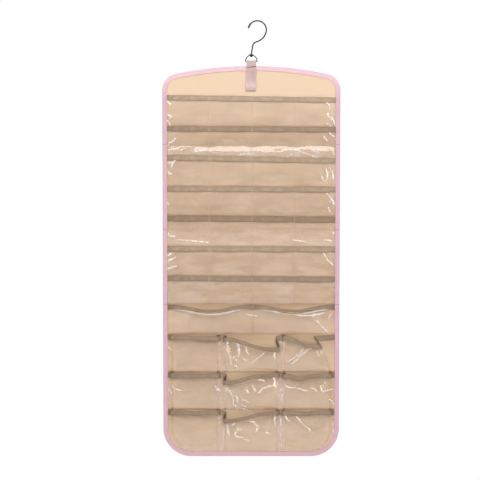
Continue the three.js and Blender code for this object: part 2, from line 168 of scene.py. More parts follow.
def shade(red, green, blue):
    """A colour as a screen shows it, 0 to 255, as the linear colour that a socket takes."""
    linear = [((c / 255 + 0.055) / 1.055) ** 2.4 if c > 10 else c / 255 / 12.92 for c in (red, green, blue)]
    return (*linear, 1.0)


def soft_lamp(name, azimuth, elevation, size, power, colour):
    """A rectangular lamp that faces the middle of the panel. Azimuth 0 is in front, 90 to the right."""
    turn, rise = math.radians(azimuth), math.radians(elevation)
    way = Vector((math.sin(turn) * math.cos(rise), -math.cos(turn) * math.cos(rise), math.sin(rise)))
    bpy.ops.object.light_add(type="AREA", location=camera_aim + lamp_reach * way)
    lamp = bpy.context.object
    lamp.name = name
    lamp.rotation_mode = "QUATERNION"
    lamp.rotation_quaternion = way.to_track_quat("Z", "Y")
    lamp.data.shape = "RECTANGLE"
    lamp.data.size, lamp.data.size_y = size
    lamp.data.energy = power
    lamp.data.color = colour


bpy.ops.object.select_all(action="DESELECT")
bpy.ops.mesh.primitive_plane_add(size=floor_size, location=(0.0, 0.0, floor_height))
floor = bpy.context.object
floor.name = "floor"
paper, place = start_finish("pale_floor")
paper_grey = paper.tint(paper.speckle(place, 3.0), shade(226, 226, 226), shade(236, 236, 236))
floor.data.materials.append(paper.cover(paper_grey, 0.9))

sky = Finish(bpy.data.worlds.new("surround"))
way = sky.node("TexCoord", out="Generated")
way_y, way_z = (sky.node("SeparateXYZ", {0: way}, out=part) for part in ("Y", "Z"))
off_camera = abs(way_z + 0.03) + (way_y + 1.0)
grey = sky.ramp(off_camera, 0.1, 0.2, *surround_greys, interpolation_type="SMOOTHSTEP")
lighting = sky.node("Background", {"Color": grey, "Strength": 1.0})
seen = sky.node("Background", {"Color": (1.0, 1.0, 1.0, 1.0), "Strength": 1.0})
either = sky.node("MixShader", {0: sky.node("LightPath", out="Is Camera Ray"), 1: lighting, 2: seen})
bpy.context.scene.world = sky.node("OutputWorld", {"Surface": either})

soft_lamp("lamp_above", 3.0, 33.0, (2.6, 1.0), 20.0, (1.0, 0.97, 0.95))
soft_lamp("lamp_left", -33.0, **side_lamp)
soft_lamp("lamp_right", 33.0, **side_lamp)
bpy.context.scene.view_settings.view_transform = "Standard"
bpy.context.scene.cycles.transparent_max_bounces = 48

# Hook: one length of 2.8 mm steel wire, blackened. A round crook opens to
# the left, a swan neck brings the straight shank under the rail, and the
# shank's end is riveted over into a head that turns in the D-ring's eye.
mm = 0.001
wire_radius = 1.55 * mm
wire_sides = 20
crook_radius = 21.4 * mm
crook_centre = Vector((-0.7 * mm, 0.0, -21.6 * mm))
crook_tip = math.radians(165)
crook_side = math.radians(-15)
lower_radius = 32 * mm
lower_end = math.radians(-72)
neck_radius = 12 * mm
shank_x = -15 * mm
shank_lean = 3 * mm
eye_z = -81.4 * mm
eye_height = 4 * mm
swivel_gap = 0.3 * mm
head_height = 2.4 * mm
head_radius = 3 * mm
head_steps = [(0.28, 1.08), (0.32, 0.9), (0.26, 0.66), (0.1, 0.4)]


def drawn_wire(name, dark, light):
    """Blackened steel: nearly black, with fine lengthwise marks and greyer places of wear."""
    finish, place = start_finish(name)
    wear = finish.speckle(place, 90.0, 4.0, 0.6)
    marks = finish.speckle(place, 900.0, 2.0, 0.5)
    colour = finish.tint(finish.ramp(wear, 0.35, 0.75), dark, light)
    return finish.cover(colour, 0.3 + 0.16 * wear, marks, 0.25, 0.1 * mm, metal=0.7)


def start_rod(name, sides, radius, place, turn=(0, 0, 0), fill="NGON"):
    """A circle in edit mode, the first section of a bent rod."""
    bpy.ops.object.select_all(action="DESELECT")
    bpy.ops.mesh.primitive_circle_add(
        vertices=sides, radius=radius, fill_type=fill, location=place, rotation=turn, enter_editmode=True
    )
    bpy.context.object.name = name
    bpy.ops.mesh.select_all(action="SELECT")


def bend(centre, angle, steps):
    """Spins the selected end about the Y axis, clockwise as the camera sees it."""
    bpy.ops.mesh.spin(steps=steps, angle=-angle, center=centre, axis=(0, 1, 0))


def draw_out(move, widen=None):
    """Extrudes the selected end straight, and widens or narrows it about its own middle."""
    bpy.ops.mesh.extrude_region_move(TRANSFORM_OT_translate={"value": move})
    if widen is not None:
        mesh = bpy.context.object
        mesh.update_from_editmode()
        points = [mesh.matrix_world @ v.co for v in mesh.data.vertices if v.select]
        middle = sum(points, Vector()) / len(points)
        bpy.ops.transform.resize(value=widen, center_override=middle)


def leave_editing():
    """Ends the work on a mesh: no double points, outward faces, and its place written into its points."""
    bpy.ops.mesh.select_all(action="SELECT")
    bpy.ops.mesh.remove_doubles(threshold=0.000001)
    bpy.ops.mesh.normals_make_consistent(inside=False)
    bpy.ops.object.mode_set(mode="OBJECT")
    bpy.ops.object.transform_apply(location=True, rotation=True, scale=True)
    return bpy.context.object


def dress(piece, material, body):
    piece.data.materials.clear()
    piece.data.materials.append(material)
    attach(piece, body)


def finish_rod(material, body):
    piece = leave_editing()
    bpy.ops.object.shade_smooth_by_angle(angle=math.radians(40))
    dress(piece, material, body)
    return piece


def towards(angle):
    """A direction in the plane of the hook, anticlockwise from the right as the camera sees it."""
    return Vector((math.cos(angle), 0.0, math.sin(angle)))


def bend_hook():
    lower_centre = crook_centre - (lower_radius - crook_radius) * towards(crook_side)
    leave = towards(lower_end)
    start = lower_centre + lower_radius * leave
    neck_x = shank_x + shank_lean + neck_radius
    run = (start.x + neck_radius * leave.x - neck_x) / -leave.z
    neck_centre = Vector((neck_x, 0.0, start.z + neck_radius * leave.z - run * leave.x))
    eye_top = eye_z + eye_height / 2 + 1 * mm
    head_top = eye_z - eye_height / 2 - swivel_gap
    tip = crook_centre + crook_radius * towards(crook_tip)
    start_rod("hook_wire", wire_sides, wire_radius, tip, (0, math.pi - crook_tip, 0))
    bend(crook_centre, crook_tip - crook_side, 48)
    bend(lower_centre, crook_side - lower_end, 18)
    draw_out(run * Vector((leave.z, 0.0, -leave.x)))
    bend(neck_centre, lower_end, 16)
    draw_out((-shank_lean, 0, eye_top - neck_centre.z))
    draw_out((0, 0, head_top - eye_top))
    flare = 0.93 * head_radius / wire_radius
    draw_out((0, 0, -0.05 * mm), (flare, flare, 1))
    for drop, widen in head_steps:
        draw_out((0, 0, -drop * head_height), (widen, widen, 1))
    steel = drawn_wire("blackened_wire", (0.006, 0.006, 0.007, 1), (0.026, 0.026, 0.029, 1))
    return finish_rod(steel, "hook")


hook = bend_hook()
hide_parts("hook")

# Tip cap: the end of the crook is dipped in black vinyl,
# which leaves a sleeve with a round nose and a soft lip.
cap_length = 11 * mm
cap_radius = 2.15 * mm
cap_lip = 0.35 * mm / crook_radius
lip_share = 0.94
nose_steps = 6
nose_quarter = 6.4


def soft_vinyl():
    """Matt black dipped vinyl with faint runs."""
    finish, place = start_finish("dipped_vinyl")
    runs = finish.speckle(place, 400.0, 3.0, 0.5)
    colour = finish.tint(runs, (0.008, 0.008, 0.009, 1), (0.022, 0.022, 0.025, 1))
    return finish.cover(colour, 0.42 + 0.2 * runs, runs, 0.3, 0.2 * mm)


def dip_tip():
    mouth = crook_tip - cap_length / crook_radius
    mouth_place, lip_place = (crook_centre + crook_radius * towards(a) for a in (mouth, mouth + cap_lip))
    start_rod("tip_cap", 24, cap_radius * lip_share, mouth_place, (0, math.pi - mouth, 0))
    bend(crook_centre, -cap_lip, 1)
    bpy.ops.transform.resize(value=(1 / lip_share,) * 3, center_override=lip_place)
    bend(crook_centre, -(crook_tip - mouth - cap_lip), 10)
    tip_way = towards(crook_tip + math.pi / 2)
    step_turn = math.pi / 2 / nose_quarter
    for step in range(1, nose_steps + 1):
        turn = step * step_turn
        reach = cap_radius * (math.sin(turn) - math.sin(turn - step_turn))
        draw_out(tip_way * reach, (math.cos(turn) / math.cos(turn - step_turn),) * 3)
    return finish_rod(soft_vinyl(), "hook")


tip_cap = dip_tip()
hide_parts("hook_tip_cap")

# D-ring: 2.2 mm steel wire with a straight bar for the webbing, flattened at the top of its arc into a
# bored, kite-shaped eye in which the hook's shank turns.
ring_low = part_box("d_ring")[0]
ring_radius = 1.1 * mm
ring_half = 13.6 * mm
ring_corner = 1.6 * mm
arc_end = math.radians(68)
bar_z = ring_low.z + ring_radius
eye_half = 6.3 * mm
eye_depth = 3.9 * mm
bore_radius = 1.7 * mm


def select_only(piece):
    bpy.ops.object.select_all(action="DESELECT")
    piece.select_set(True)
    bpy.context.view_layer.objects.active = piece


def forge_eye():
    """A bored lozenge: the bore's upper rim is drawn out over the top, round the waist and in below."""
    half = eye_height / 2
    rim = (bore_radius, bore_radius, half * 0.86)
    start_rod("eye", 32, bore_radius, (shank_x, 0.0, eye_z + rim[2]), fill="NOTHING")
    upper = [(bore_radius * 1.25, bore_radius * 1.25, half), (eye_half * 0.5, eye_depth * 0.62, half)]
    upper += [(eye_half * 0.9, eye_depth * 0.92, half * 0.55)]
    lower = [(wide, deep, -rise) for wide, deep, rise in reversed([rim, *upper])]
    sections = [rim, *upper, (eye_half, eye_depth, 0.0), *lower]
    for before, section in zip(sections, sections[1:]):
        draw_out((0, 0, section[2] - before[2]), (section[0] / before[0], section[1] / before[1], 1))
    bpy.ops.mesh.select_all(action="DESELECT")
    bpy.ops.mesh.select_mode(type="EDGE")
    bpy.ops.mesh.select_non_manifold()
    bpy.ops.mesh.bridge_edge_loops()
    bpy.ops.mesh.select_mode(type="VERT")
    return leave_editing()


def bend_ring():
    arc_centre = Vector((shank_x, 0.0, eye_z - ring_half))
    corner = ring_half - ring_corner
    drop = arc_centre.z - bar_z - ring_corner
    start = arc_centre + ring_half * towards(arc_end)
    start_rod("d_ring_steel", 16, ring_radius, start, (0, math.pi - arc_end, 0))
    bend(arc_centre, arc_end, 12)
    draw_out((0, 0, -drop))
    bend((shank_x + corner, 0, bar_z + ring_corner), math.pi / 2, 6)
    draw_out((-2 * corner, 0, 0))
    bend((shank_x - corner, 0, bar_z + ring_corner), math.pi / 2, 6)
    draw_out((0, 0, drop))
    bend(arc_centre, arc_end, 12)
    wire = leave_editing()
    eye = forge_eye()
    select_only(wire)
    eye.select_set(True)
    bpy.ops.object.join()
    bpy.ops.object.mode_set(mode="EDIT")
    steel = drawn_wire("blackened_ring", (0.014, 0.014, 0.016, 1), (0.05, 0.05, 0.055, 1))
    return finish_rod(steel, "ring")


ring = bend_ring()
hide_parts("d_ring")

# Fabric panel: two cream faces of close plain-woven polyester, cut to the panel's outline and quilted a
# little by the seams. A thin card between them at the top keeps the arched edge straight.
panel_low, panel_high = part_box("edge_binding")
panel_x = (panel_low.x + panel_high.x) / 2
panel_half = (panel_high.x - panel_low.x) / 2
panel_top = panel_high.z
panel_bottom = panel_low.z
top_corner = 40 * mm
bottom_corner = 68 * mm
arch_radius = 880 * mm
arch_x = panel_half - top_corner
arch_z = panel_top - arch_radius
arch_rise = math.sqrt((arch_radius - top_corner) ** 2 - arch_x**2)
fabric_face = 1.2 * mm
fabric_thickness = 0.6 * mm
face_inset = 0.9 * mm
quilting = 0.42 * mm
fold_marks = [-293.5 * mm, -497.8 * mm, -677.6 * mm]
narrow_rows = 7

# The rows as the cloth shows them: the distance of each below the panel's top in millimetres, and the painted
# shade of its cloth at its top and at its foot, for the light lost behind the film and in the pocket. The
# first is the bare part above the pockets.
row_tops = np.array([0, 71.4, 143, 215, 287, 359, 430, 502, 570, 643, 735, 826, 940])
row_shade_tones = np.array([
    (0.98, 0.98), (1.05, 0.9), (0.84, 0.82), (0.92, 0.88), (0.91, 0.78), (0.79, 0.92),
    (0.85, 0.83), (0.81, 0.79), (0.89, 0.78), (0.78, 0.85), (0.82, 0.83), (0.83, 0.9),
])

# Soft lights and shades that the wavy film throws on the cloth: the ends
# of each, across from the panel's middle and down from its top, its half
# width, all in millimetres, and how much it lightens or darkens the cloth.
soft_lights = [
    (20, 112, 90, 122, 9, 0.06), (100, 90, 190, 96, 9, 0.06), (-200, 137, 60, 137, 6, -0.05),
    (-190, 162, 190, 162, 6, 0.04), (-190, 184, 190, 184, 6, -0.08), (-30, 174, 80, 174, 6, -0.03),
    (70, 236, 190, 234, 7, 0.06), (-178, 240, -178, 276, 20, -0.035), (-130, 234, 60, 236, 6, 0.03),
    (-25, 314, 0, 330, 4, 0.07), (-52, 335, -20, 352, 4, 0.06), (-110, 326, -50, 322, 6, 0.05),
    (60, 346, 120, 346, 4, 0.06), (-12, 318, 32, 334, 4, -0.05), (-120, 337, -50, 340, 5, -0.05),
    (95, 306, 140, 310, 8, 0.05), (-200, 352, 200, 352, 5, -0.03), (-200, 390, 200, 390, 6, -0.05),
    (-190, 410, -100, 410, 6, 0.04), (90, 410, 190, 410, 6, 0.04), (-190, 449, 190, 449, 6, 0.04),
    (-180, 462, -180, 488, 18, -0.06), (-130, 470, -100, 472, 9, -0.04), (70, 464, 120, 470, 9, 0.03),
    (-185, 520, -110, 520, 6, -0.06), (-190, 562, -130, 564, 8, -0.04), (-75, 531, -10, 537, 6, -0.08),
    (-130, 553, -20, 554, 6, 0.03), (100, 552, 150, 550, 8, 0.03),
]


def unit(value):
    return np.clip(value, 0, 1)


def hill(value):
    """A smooth rise to 1 where the value is 0."""
    return np.exp(-(value**2))


def wander(x, z, scale, seed):
    """Smooth gradient noise over the panel, about -1 to 1, the same on each run."""
    x, z = np.broadcast_arrays(x * scale + 37.7 * seed, z * scale - 11.3 * seed)
    i, j = np.floor(x).astype(int), np.floor(z).astype(int)
    u, v = x - i, z - j
    turns = np.random.default_rng(seed).random((64, 64)) * 2 * np.pi

    def corner(a, b):
        turn = turns[(i + a) % 64, (j + b) % 64]
        return np.cos(turn) * (u - a) + np.sin(turn) * (v - b)

    s, t = (w**3 * (w * (w * 6 - 15) + 10) for w in (u, v))
    low = corner(0, 0) + s * (corner(1, 0) - corner(0, 0))
    high = corner(0, 1) + s * (corner(1, 1) - corner(0, 1))
    return 1.6 * (low + t * (high - low))


def outline_at(z, inset):
    """Half the panel's width at heights z, moved inwards."""
    def width_of(radius, rise):
        return np.sqrt(np.clip((radius - inset) ** 2 - rise**2, 0, None))

    above = np.clip(z - arch_z - arch_rise, 0, None)
    below = np.clip(panel_bottom + bottom_corner - z, 0, None)
    arch = width_of(arch_radius, z - arch_z)
    upper = np.where(above > 0, np.minimum(arch_x + width_of(top_corner, above), arch), panel_half - inset)
    joint = (top_corner - inset) * math.sin(math.atan2(arch_rise, arch_x))
    upper = np.where(above > joint, arch, upper)
    return np.where(below > 0, panel_half - bottom_corner + width_of(bottom_corner, below), upper)


def new_piece(name, points, faces):
    mesh = bpy.data.meshes.new(name)
    mesh.from_pydata(points.tolist(), [], faces)
    piece = bpy.data.objects.new(name, mesh)
    bpy.context.scene.collection.objects.link(piece)
    return piece


def quads(grid):
    """The four corners of each square of a grid."""
    return np.stack([grid[:-1, :-1], grid[:-1, 1:], grid[1:, 1:], grid[1:, :-1]], axis=2)


def mesh_from_grid(name, grid, across=None, along=None, wrap=False, values=None):
    """A surface through a grid of points, with a UV map in metres named cloth and values at its points."""
    rows, columns = grid.shape[:2]
    index = np.arange(rows * columns).reshape(rows, columns)
    if wrap:
        index = np.concatenate([index, index[:, :1]], axis=1)
    piece = new_piece(name, grid.reshape(-1, 3), quads(index).reshape(-1, 4).tolist())
    if across is not None:
        places = np.stack([np.broadcast_to(way, index.shape) for way in (across, along)], axis=-1)
        layer = piece.data.uv_layers.new(name="cloth")
        layer.data.foreach_set("uv", quads(places).ravel().astype(np.float32))
    for label, numbers in (values or {}).items():
        layer = piece.data.attributes.new(label, "FLOAT", "POINT")
        layer.data.foreach_set("value", numbers.ravel().astype(np.float32))
    return piece


def give_thickness(piece, thickness, smooth=50):
    select_only(piece)
    wall = piece.modifiers.new("wall", "SOLIDIFY")
    wall.thickness = thickness
    wall.offset = 0
    bpy.ops.object.modifier_apply(modifier="wall")
    bpy.ops.object.shade_smooth_by_angle(angle=math.radians(smooth))


def woven_cream():
    """Close plain weave: crossed yarns half a millimetre apart and uneven dye. Its painted shade value makes
    it deeper behind the pockets and in open mouths, with painted soft lights and shades and random patches."""
    finish, place = start_finish("cream_polyester")
    warp, weft = finish.stripes(place, "X", 0.55 * mm), finish.stripes(place, "Z", 0.5 * mm)
    weave = warp * weft + (1 - warp) * (1 - weft)
    cloud = finish.speckle(place, 9.0, 3.0, 0.6)
    slub = finish.speckle(place, 260.0, 2.0, 0.6)
    base = finish.tint(cloud, shade(240, 214, 183), shade(244, 221, 193))
    shown = finish.tint(weave * 0.35 + slub * 0.3, shade(229, 201, 168), base)
    colour = finish.toned(finish.tint(0.55, shown, base), 1.22, 1.45)
    return finish.cover(colour, 0.82 + 0.12 * slub, weave + 0.6 * slub, 0.35, 0.12 * mm, sheen=(0.15, 0.5))


def grey_card():
    """Recycled grey card, flecked with fibres."""
    finish, place = start_finish("grey_card")
    fibre = finish.speckle(place, 500.0, 5.0, 0.7)
    colour = finish.tint(fibre, shade(196, 190, 180), shade(228, 224, 215))
    return finish.cover(colour, 0.85 + 0.1 * fibre, fibre, 0.3, 0.1 * mm)


def beside_line(x, z, x0, d0, x1, d1):
    """How far places lie along and beside a line, whose ends are given in millimetres, and how long it is."""
    way = np.array([x1 - x0, d0 - d1]) * mm
    length = np.hypot(*way)
    way = way / length
    x, z = x - x0 * mm, z - panel_top + d0 * mm
    return x * way[0] + z * way[1], z * way[0] - x * way[1], length


def cloth_shade_tone(x, z):
    """The front cloth's painted shade behind each row's film and in open mouths, the film's soft lights and
    shades painted on it, and random patches.
    """
    down = (panel_top - z) / mm
    row = np.clip(np.searchsorted(row_tops, down) - 1, 0, len(row_shade_tones) - 1)
    below = down - row_tops[row]
    share = unit(below / (row_tops[row + 1] - row_tops[row]))
    shade_tone = row_shade_tones[row, 0] + (row_shade_tones[row, 1] - row_shade_tones[row, 0]) * share
    patches = 0.06 * wander(x * 0.45, z, 30.0, 21) + 0.035 * wander(x * 0.4, z, 85.0, 22)
    # Painted shade in the open mouths of rows 8 to 11, deepest just under row 8's rim.
    mouth = 0.18 * hill(below / 30) * (row > narrow_rows) + 0.16 * hill(below / 10) * (row == narrow_rows + 1)
    for *ends, wide, amount in soft_lights:
        along, beside, length = beside_line(x, z, *ends)
        past = np.maximum(-along, along - length).clip(0)
        shade_tone = shade_tone + amount * hill(beside / (wide * mm)) * hill(past / (2 * wide * mm))
    return shade_tone * (1 - mouth) + patches * (row > 0)


def hang_face(name, node, side, material, rows, columns):
    """One face of the panel. Side is -1 for the front and 1 for the back."""
    z = np.linspace(panel_bottom + face_inset, panel_top - face_inset, rows)
    half = outline_at(z, face_inset)[:, None]
    x = half * np.linspace(-1, 1, columns)
    height = np.repeat(z[:, None], columns, axis=1)
    dip = unit(0.5 + 0.5 * wander(x, height, 9.0, 3 + side)) * quilting
    from_rim = np.minimum(half - np.abs(x), 20 * mm) / (20 * mm)
    y = side * (fabric_face - fabric_thickness / 2 - dip * from_rim)
    # The front cloth carries painted shade and light; the back is even.
    shade_tone = cloth_shade_tone(x, height) if side < 0 else np.ones(x.shape)
    grid = np.stack([x + panel_x, y, height], axis=-1)
    piece = mesh_from_grid(name, grid[:, ::-side], values={"shade_tone": shade_tone[:, ::-side]})
    give_thickness(piece, fabric_thickness)
    dress(piece, material, "panel")
    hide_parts(node)


cream = woven_cream()
hang_face("front_cloth", "front_fabric", -1, cream, 300, 110)
hang_face("back_cloth", "back_fabric", 1, cream, 160, 60)

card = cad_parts["stiffener_board"]
card.data.materials.clear()
card.data.materials.append(grey_card())

# Pocket films: a strip of clear 0.3 mm vinyl for each row, sewn flat at
# its bottom and sides and pinched down by the upright seams, and standing
# open at its mouth. The three deep rows are pleated beside their seams.
film_thickness = 0.3 * mm
layer_gap = 0.2 * mm
ribbon_thickness = 0.4 * mm
ribbon_width = 12.5 * mm
binding_width = 12 * mm
row_gap = 0.3 * mm
end_tuck = 8 * mm
seam_inset = 1 * mm
seam_allowance = 2 * mm
mouth_gap = 0.8 * mm
first_mouth = 71.4 * mm
row_shares = [0.0827, 0.0827, 0.0827, 0.0827, 0.0827, 0.0827, 0.0783, 0.0835, 0.1059, 0.1048]
row_count = len(row_shares) + 1
sewn_slopes = [s * mm for s in (6, 2.4, 8.4, 2.4, 3.6, 2.4, 3.6, 0, 0, 0, 0)]
narrow_seams = [-101 * mm, 2 * mm, 104 * mm]
wide_seams = [4 * mm]
pleated_seams = [-71.5 * mm, 71.5 * mm]
narrow_depth = 2.6 * mm
wide_depth = 14 * mm
wide_sag = 12 * mm
pleated_depth = 18 * mm
pleated_sag = 30 * mm
pleat_lap = 4.5 * mm
pleat_underlap = 11 * mm
turned_lap = 38 * mm
turned_underlap = 47 * mm
flat_fold = 0.28 * mm
open_fold = 1.05 * mm
fold_share = 0.0275
layers_up = 4
front_margin = 5 * mm
mouth_places = [0.0, 0.14, 0.34, 0.5, 0.66, 0.86, 1.0]
hem_depth = film_thickness / 2 + layer_gap
seam_depth = film_thickness / 2 + layer_gap + ribbon_thickness + layer_gap
pocket_start = panel_half - binding_width - seam_inset
strip_end = panel_half - binding_width + end_tuck
across_step = 1.25 * mm
fewest_steps = 20
end_gap = 2 * mm

# How high the film's slack waves, puckers and fine wrinkles stand, in the flat rows and in the deep ones, and
# the form of the gaping rims of row 8: a shelf at the rim and a bright ridge below it.
slack_height = 0.5 * mm
loose_slack = 1.1 * mm
fine_height = 0.16 * mm
pucker_height = 1.5 * mm
low_pucker = 0.6 * mm
pucker_reach = 30 * mm
pleat_waver = 1.3 * mm
rim_shelf = 0.62 * wide_depth
shelf_height = 2.6 * mm
rim_ridge = 1.05 * mm
ridge_drop = 9.5 * mm
ridge_half = 3.2 * mm

# Each pleated row's three mouths: how wide it stands open, as a share of the deepest, how its rim sags at
# five places, as shares of the deepest sag, and where its right-hand pleat is turned back.
plain_turn = (pleat_lap, pleat_underlap)
pleated_mouths = [
    [
        (0.5, [0.03, 0.05, 0.08, 0.1, 0.12], plain_turn),
        (1.0, [0.2, 0.43, 0.67, 0.87, 1.0], plain_turn),
        (0.72, [0.07, 0.27, 0.5, 0.7, 0.73], (turned_lap, turned_underlap)),
    ],
    [
        (0.5, [0.03, 0.07, 0.07, 0.07, 0.03], plain_turn),
        (0.89, [0.6, 0.37, 0.17, 0.07, 0.0], plain_turn),
        (0.67, [0.1, 0.3, 0.17, 0.07, 0.03], plain_turn),
    ],
    [
        (0.5, [0.0, 0.03, 0.07, 0.03, 0.0], plain_turn),
        (1.0, [0.67, 0.47, 0.3, 0.13, 0.03], plain_turn),
        (0.5, [0.03, 0.07, 0.07, 0.03, 0.0], plain_turn),
    ],
]

# A pleat at eight places from its seam out to the pocket's front: which way the fold rolls there, how many
# layers lie below, its share of the rim's sag, and the steps from each place to the next.
pleat_rolls = [0, -1, 0, -1, 1, 0, 1, 1]
pleat_layers = [0, 0, 1, 2, 2, 3, 4, 4.3]
pleat_sags = [0.08, 0.15, 0.3, 0.45, 0.75, 0.9, 1, 1]
pleat_steps = [4, 5, 5, 6, 5, 5, 2]

# A place across a strip has x at beside + turn * (reach + roll * a fold) and stands up by its layers of
# folds and by its bulge of the pocket's depth, or by pressed where the pocket is shut. low is its reach at
# the foot of the row, sag is how far its rim hangs, pinch is 1 on a seam, and pleated is 1 in the folds.
strip_parts = ["beside", "turn", "reach", "roll", "low", "layers"]
strip_parts += ["bulge", "depth", "pressed", "sag", "pinch", "pleated"]


def curve_through(places, values, at):
    """A smooth curve through values at places, read at more places."""
    places, values = np.asarray(places, float), np.asarray(values, float)
    slope = np.gradient(values, places)
    i = np.clip(np.searchsorted(places, at) - 1, 0, len(places) - 2)
    span = places[i + 1] - places[i]
    t = (at - places[i]) / span
    return (
        values[i] * (2 * t**3 - 3 * t**2 + 1)
        + values[i + 1] * (3 * t**2 - 2 * t**3)
        + span * slope[i] * (t**3 - 2 * t**2 + t)
        + span * slope[i + 1] * (t**3 - t**2)
    )


def mouth_line(row, x):
    """The height that a row's top edge is sewn at, across the panel."""
    middle = panel_top - first_mouth - sum(row_shares[:row]) * (panel_top - panel_bottom - first_mouth)
    return middle - sewn_slopes[row] * x / (2 * panel_half)


def stretch(reach, **given):
    """Places across a strip, with the parts that aren't given at rest."""
    made = np.zeros(np.size(reach), dtype=[(part, float) for part in strip_parts]).view(np.recarray)
    for part, value in {"turn": 1.0, "reach": reach, "low": reach, **given}.items():
        made[part] = value
    return made


def pleat(seam, turn, lap, underlap, sag, depth):
    """The S-shaped fold beside a seam, from the seam out to the pocket's front."""
    reach = [0.3 * underlap, underlap, underlap, underlap, lap, lap, lap, lap + 2.5 * mm]
    starts = enumerate(pleat_steps)
    at = np.concatenate([np.linspace(i, i + 1, steps, endpoint=False) for i, steps in starts])
    knots = (reach, pleat_rolls, pleat_layers, np.array(pleat_sags) * sag)
    reach, rolls, layers, sags = (curve_through(range(len(pleat_rolls)), knot, at) for knot in knots)
    folds = {"roll": rolls, "layers": layers.clip(0), "sag": sags, "pleated": 1.0}
    return stretch(reach, beside=seam, turn=turn, depth=depth, pressed=layers_up * flat_fold, **folds)


def pleated_pocket(start, end, mouth):
    open_share, sags, (lap, underlap) = mouth
    depth = open_share * pleated_depth
    sags = [s * pleated_sag for s in sags]
    left = pleat(start, 1.0, pleat_lap, pleat_underlap, sags[0], depth)
    right = pleat(end, -1.0, lap, underlap, sags[-1], depth)
    right.low = pleat(end, -1.0, pleat_lap, pleat_underlap, sags[-1], depth).reach
    width = end - lap - start - pleat_lap
    low_width = end - start - 2 * pleat_lap
    margin = front_margin / width
    shares = np.linspace(margin, 1 - margin, max(int(low_width / across_step), fewest_steps))
    front = stretch(
        shares * width,
        beside=start + pleat_lap,
        low=shares * low_width,
        layers=layers_up,
        bulge=np.sin(np.pi * shares) ** 0.6,
        depth=depth,
        pressed=layers_up * flat_fold,
        sag=curve_through(mouth_places, [sags[0], *sags, sags[-1]], shares),
    )
    return [left, front, right[::-1]]


def plain_pocket(start, end, depth, sag):
    shares = np.linspace(0, 1, max(int((end - start) / across_step), fewest_steps))[1:-1]
    bulge = np.sin(np.pi * shares) ** (1.0 if sag == 0 else 1.15)
    drop = sag * np.sin(np.pi * shares) ** 2
    return [stretch(shares * (end - start), beside=start, bulge=bulge, depth=depth, sag=drop)]


def strip_stations(row):
    """All places across a row, from one end under the binding to the other."""
    seams = narrow_seams if row < narrow_rows else wide_seams if row == narrow_rows else pleated_seams
    edges = [-pocket_start, *seams, pocket_start]
    parts = [stretch(np.linspace(-strip_end, -pocket_start - end_gap, 3))]
    for i, (start, end) in enumerate(zip(edges, edges[1:])):
        parts.append(stretch(start, pinch=1.0))
        if row < narrow_rows:
            parts += plain_pocket(start, end, narrow_depth, 0.0)
        elif row == narrow_rows:
            parts += plain_pocket(start, end, wide_depth, wide_sag)
        else:
            parts += pleated_pocket(start, end, pleated_mouths[row - narrow_rows - 1][i])
    parts.append(stretch(pocket_start, pinch=1.0))
    parts.append(stretch(np.linspace(pocket_start + end_gap, strip_end, 3)))
    return np.concatenate(parts).view(np.recarray)


def drawn_in(x, z):
    """Draws a strip's ends in where the round bottom corners narrow the panel."""
    free = pleated_seams[1] + pleat_underlap
    inner = outline_at(z, binding_width + seam_inset)
    outer = np.maximum(outline_at(z, binding_width - end_tuck), inner + seam_inset)
    beyond = np.abs(x) - free
    inside = free + beyond * (inner - free) / (pocket_start - free)
    tucked = inner + (np.abs(x) - pocket_start) / (strip_end - pocket_start) * (outer - inner)
    drawn = np.where(np.abs(x) > pocket_start, tucked, inside)
    return np.where(beyond <= 0, x, np.sign(x) * drawn)
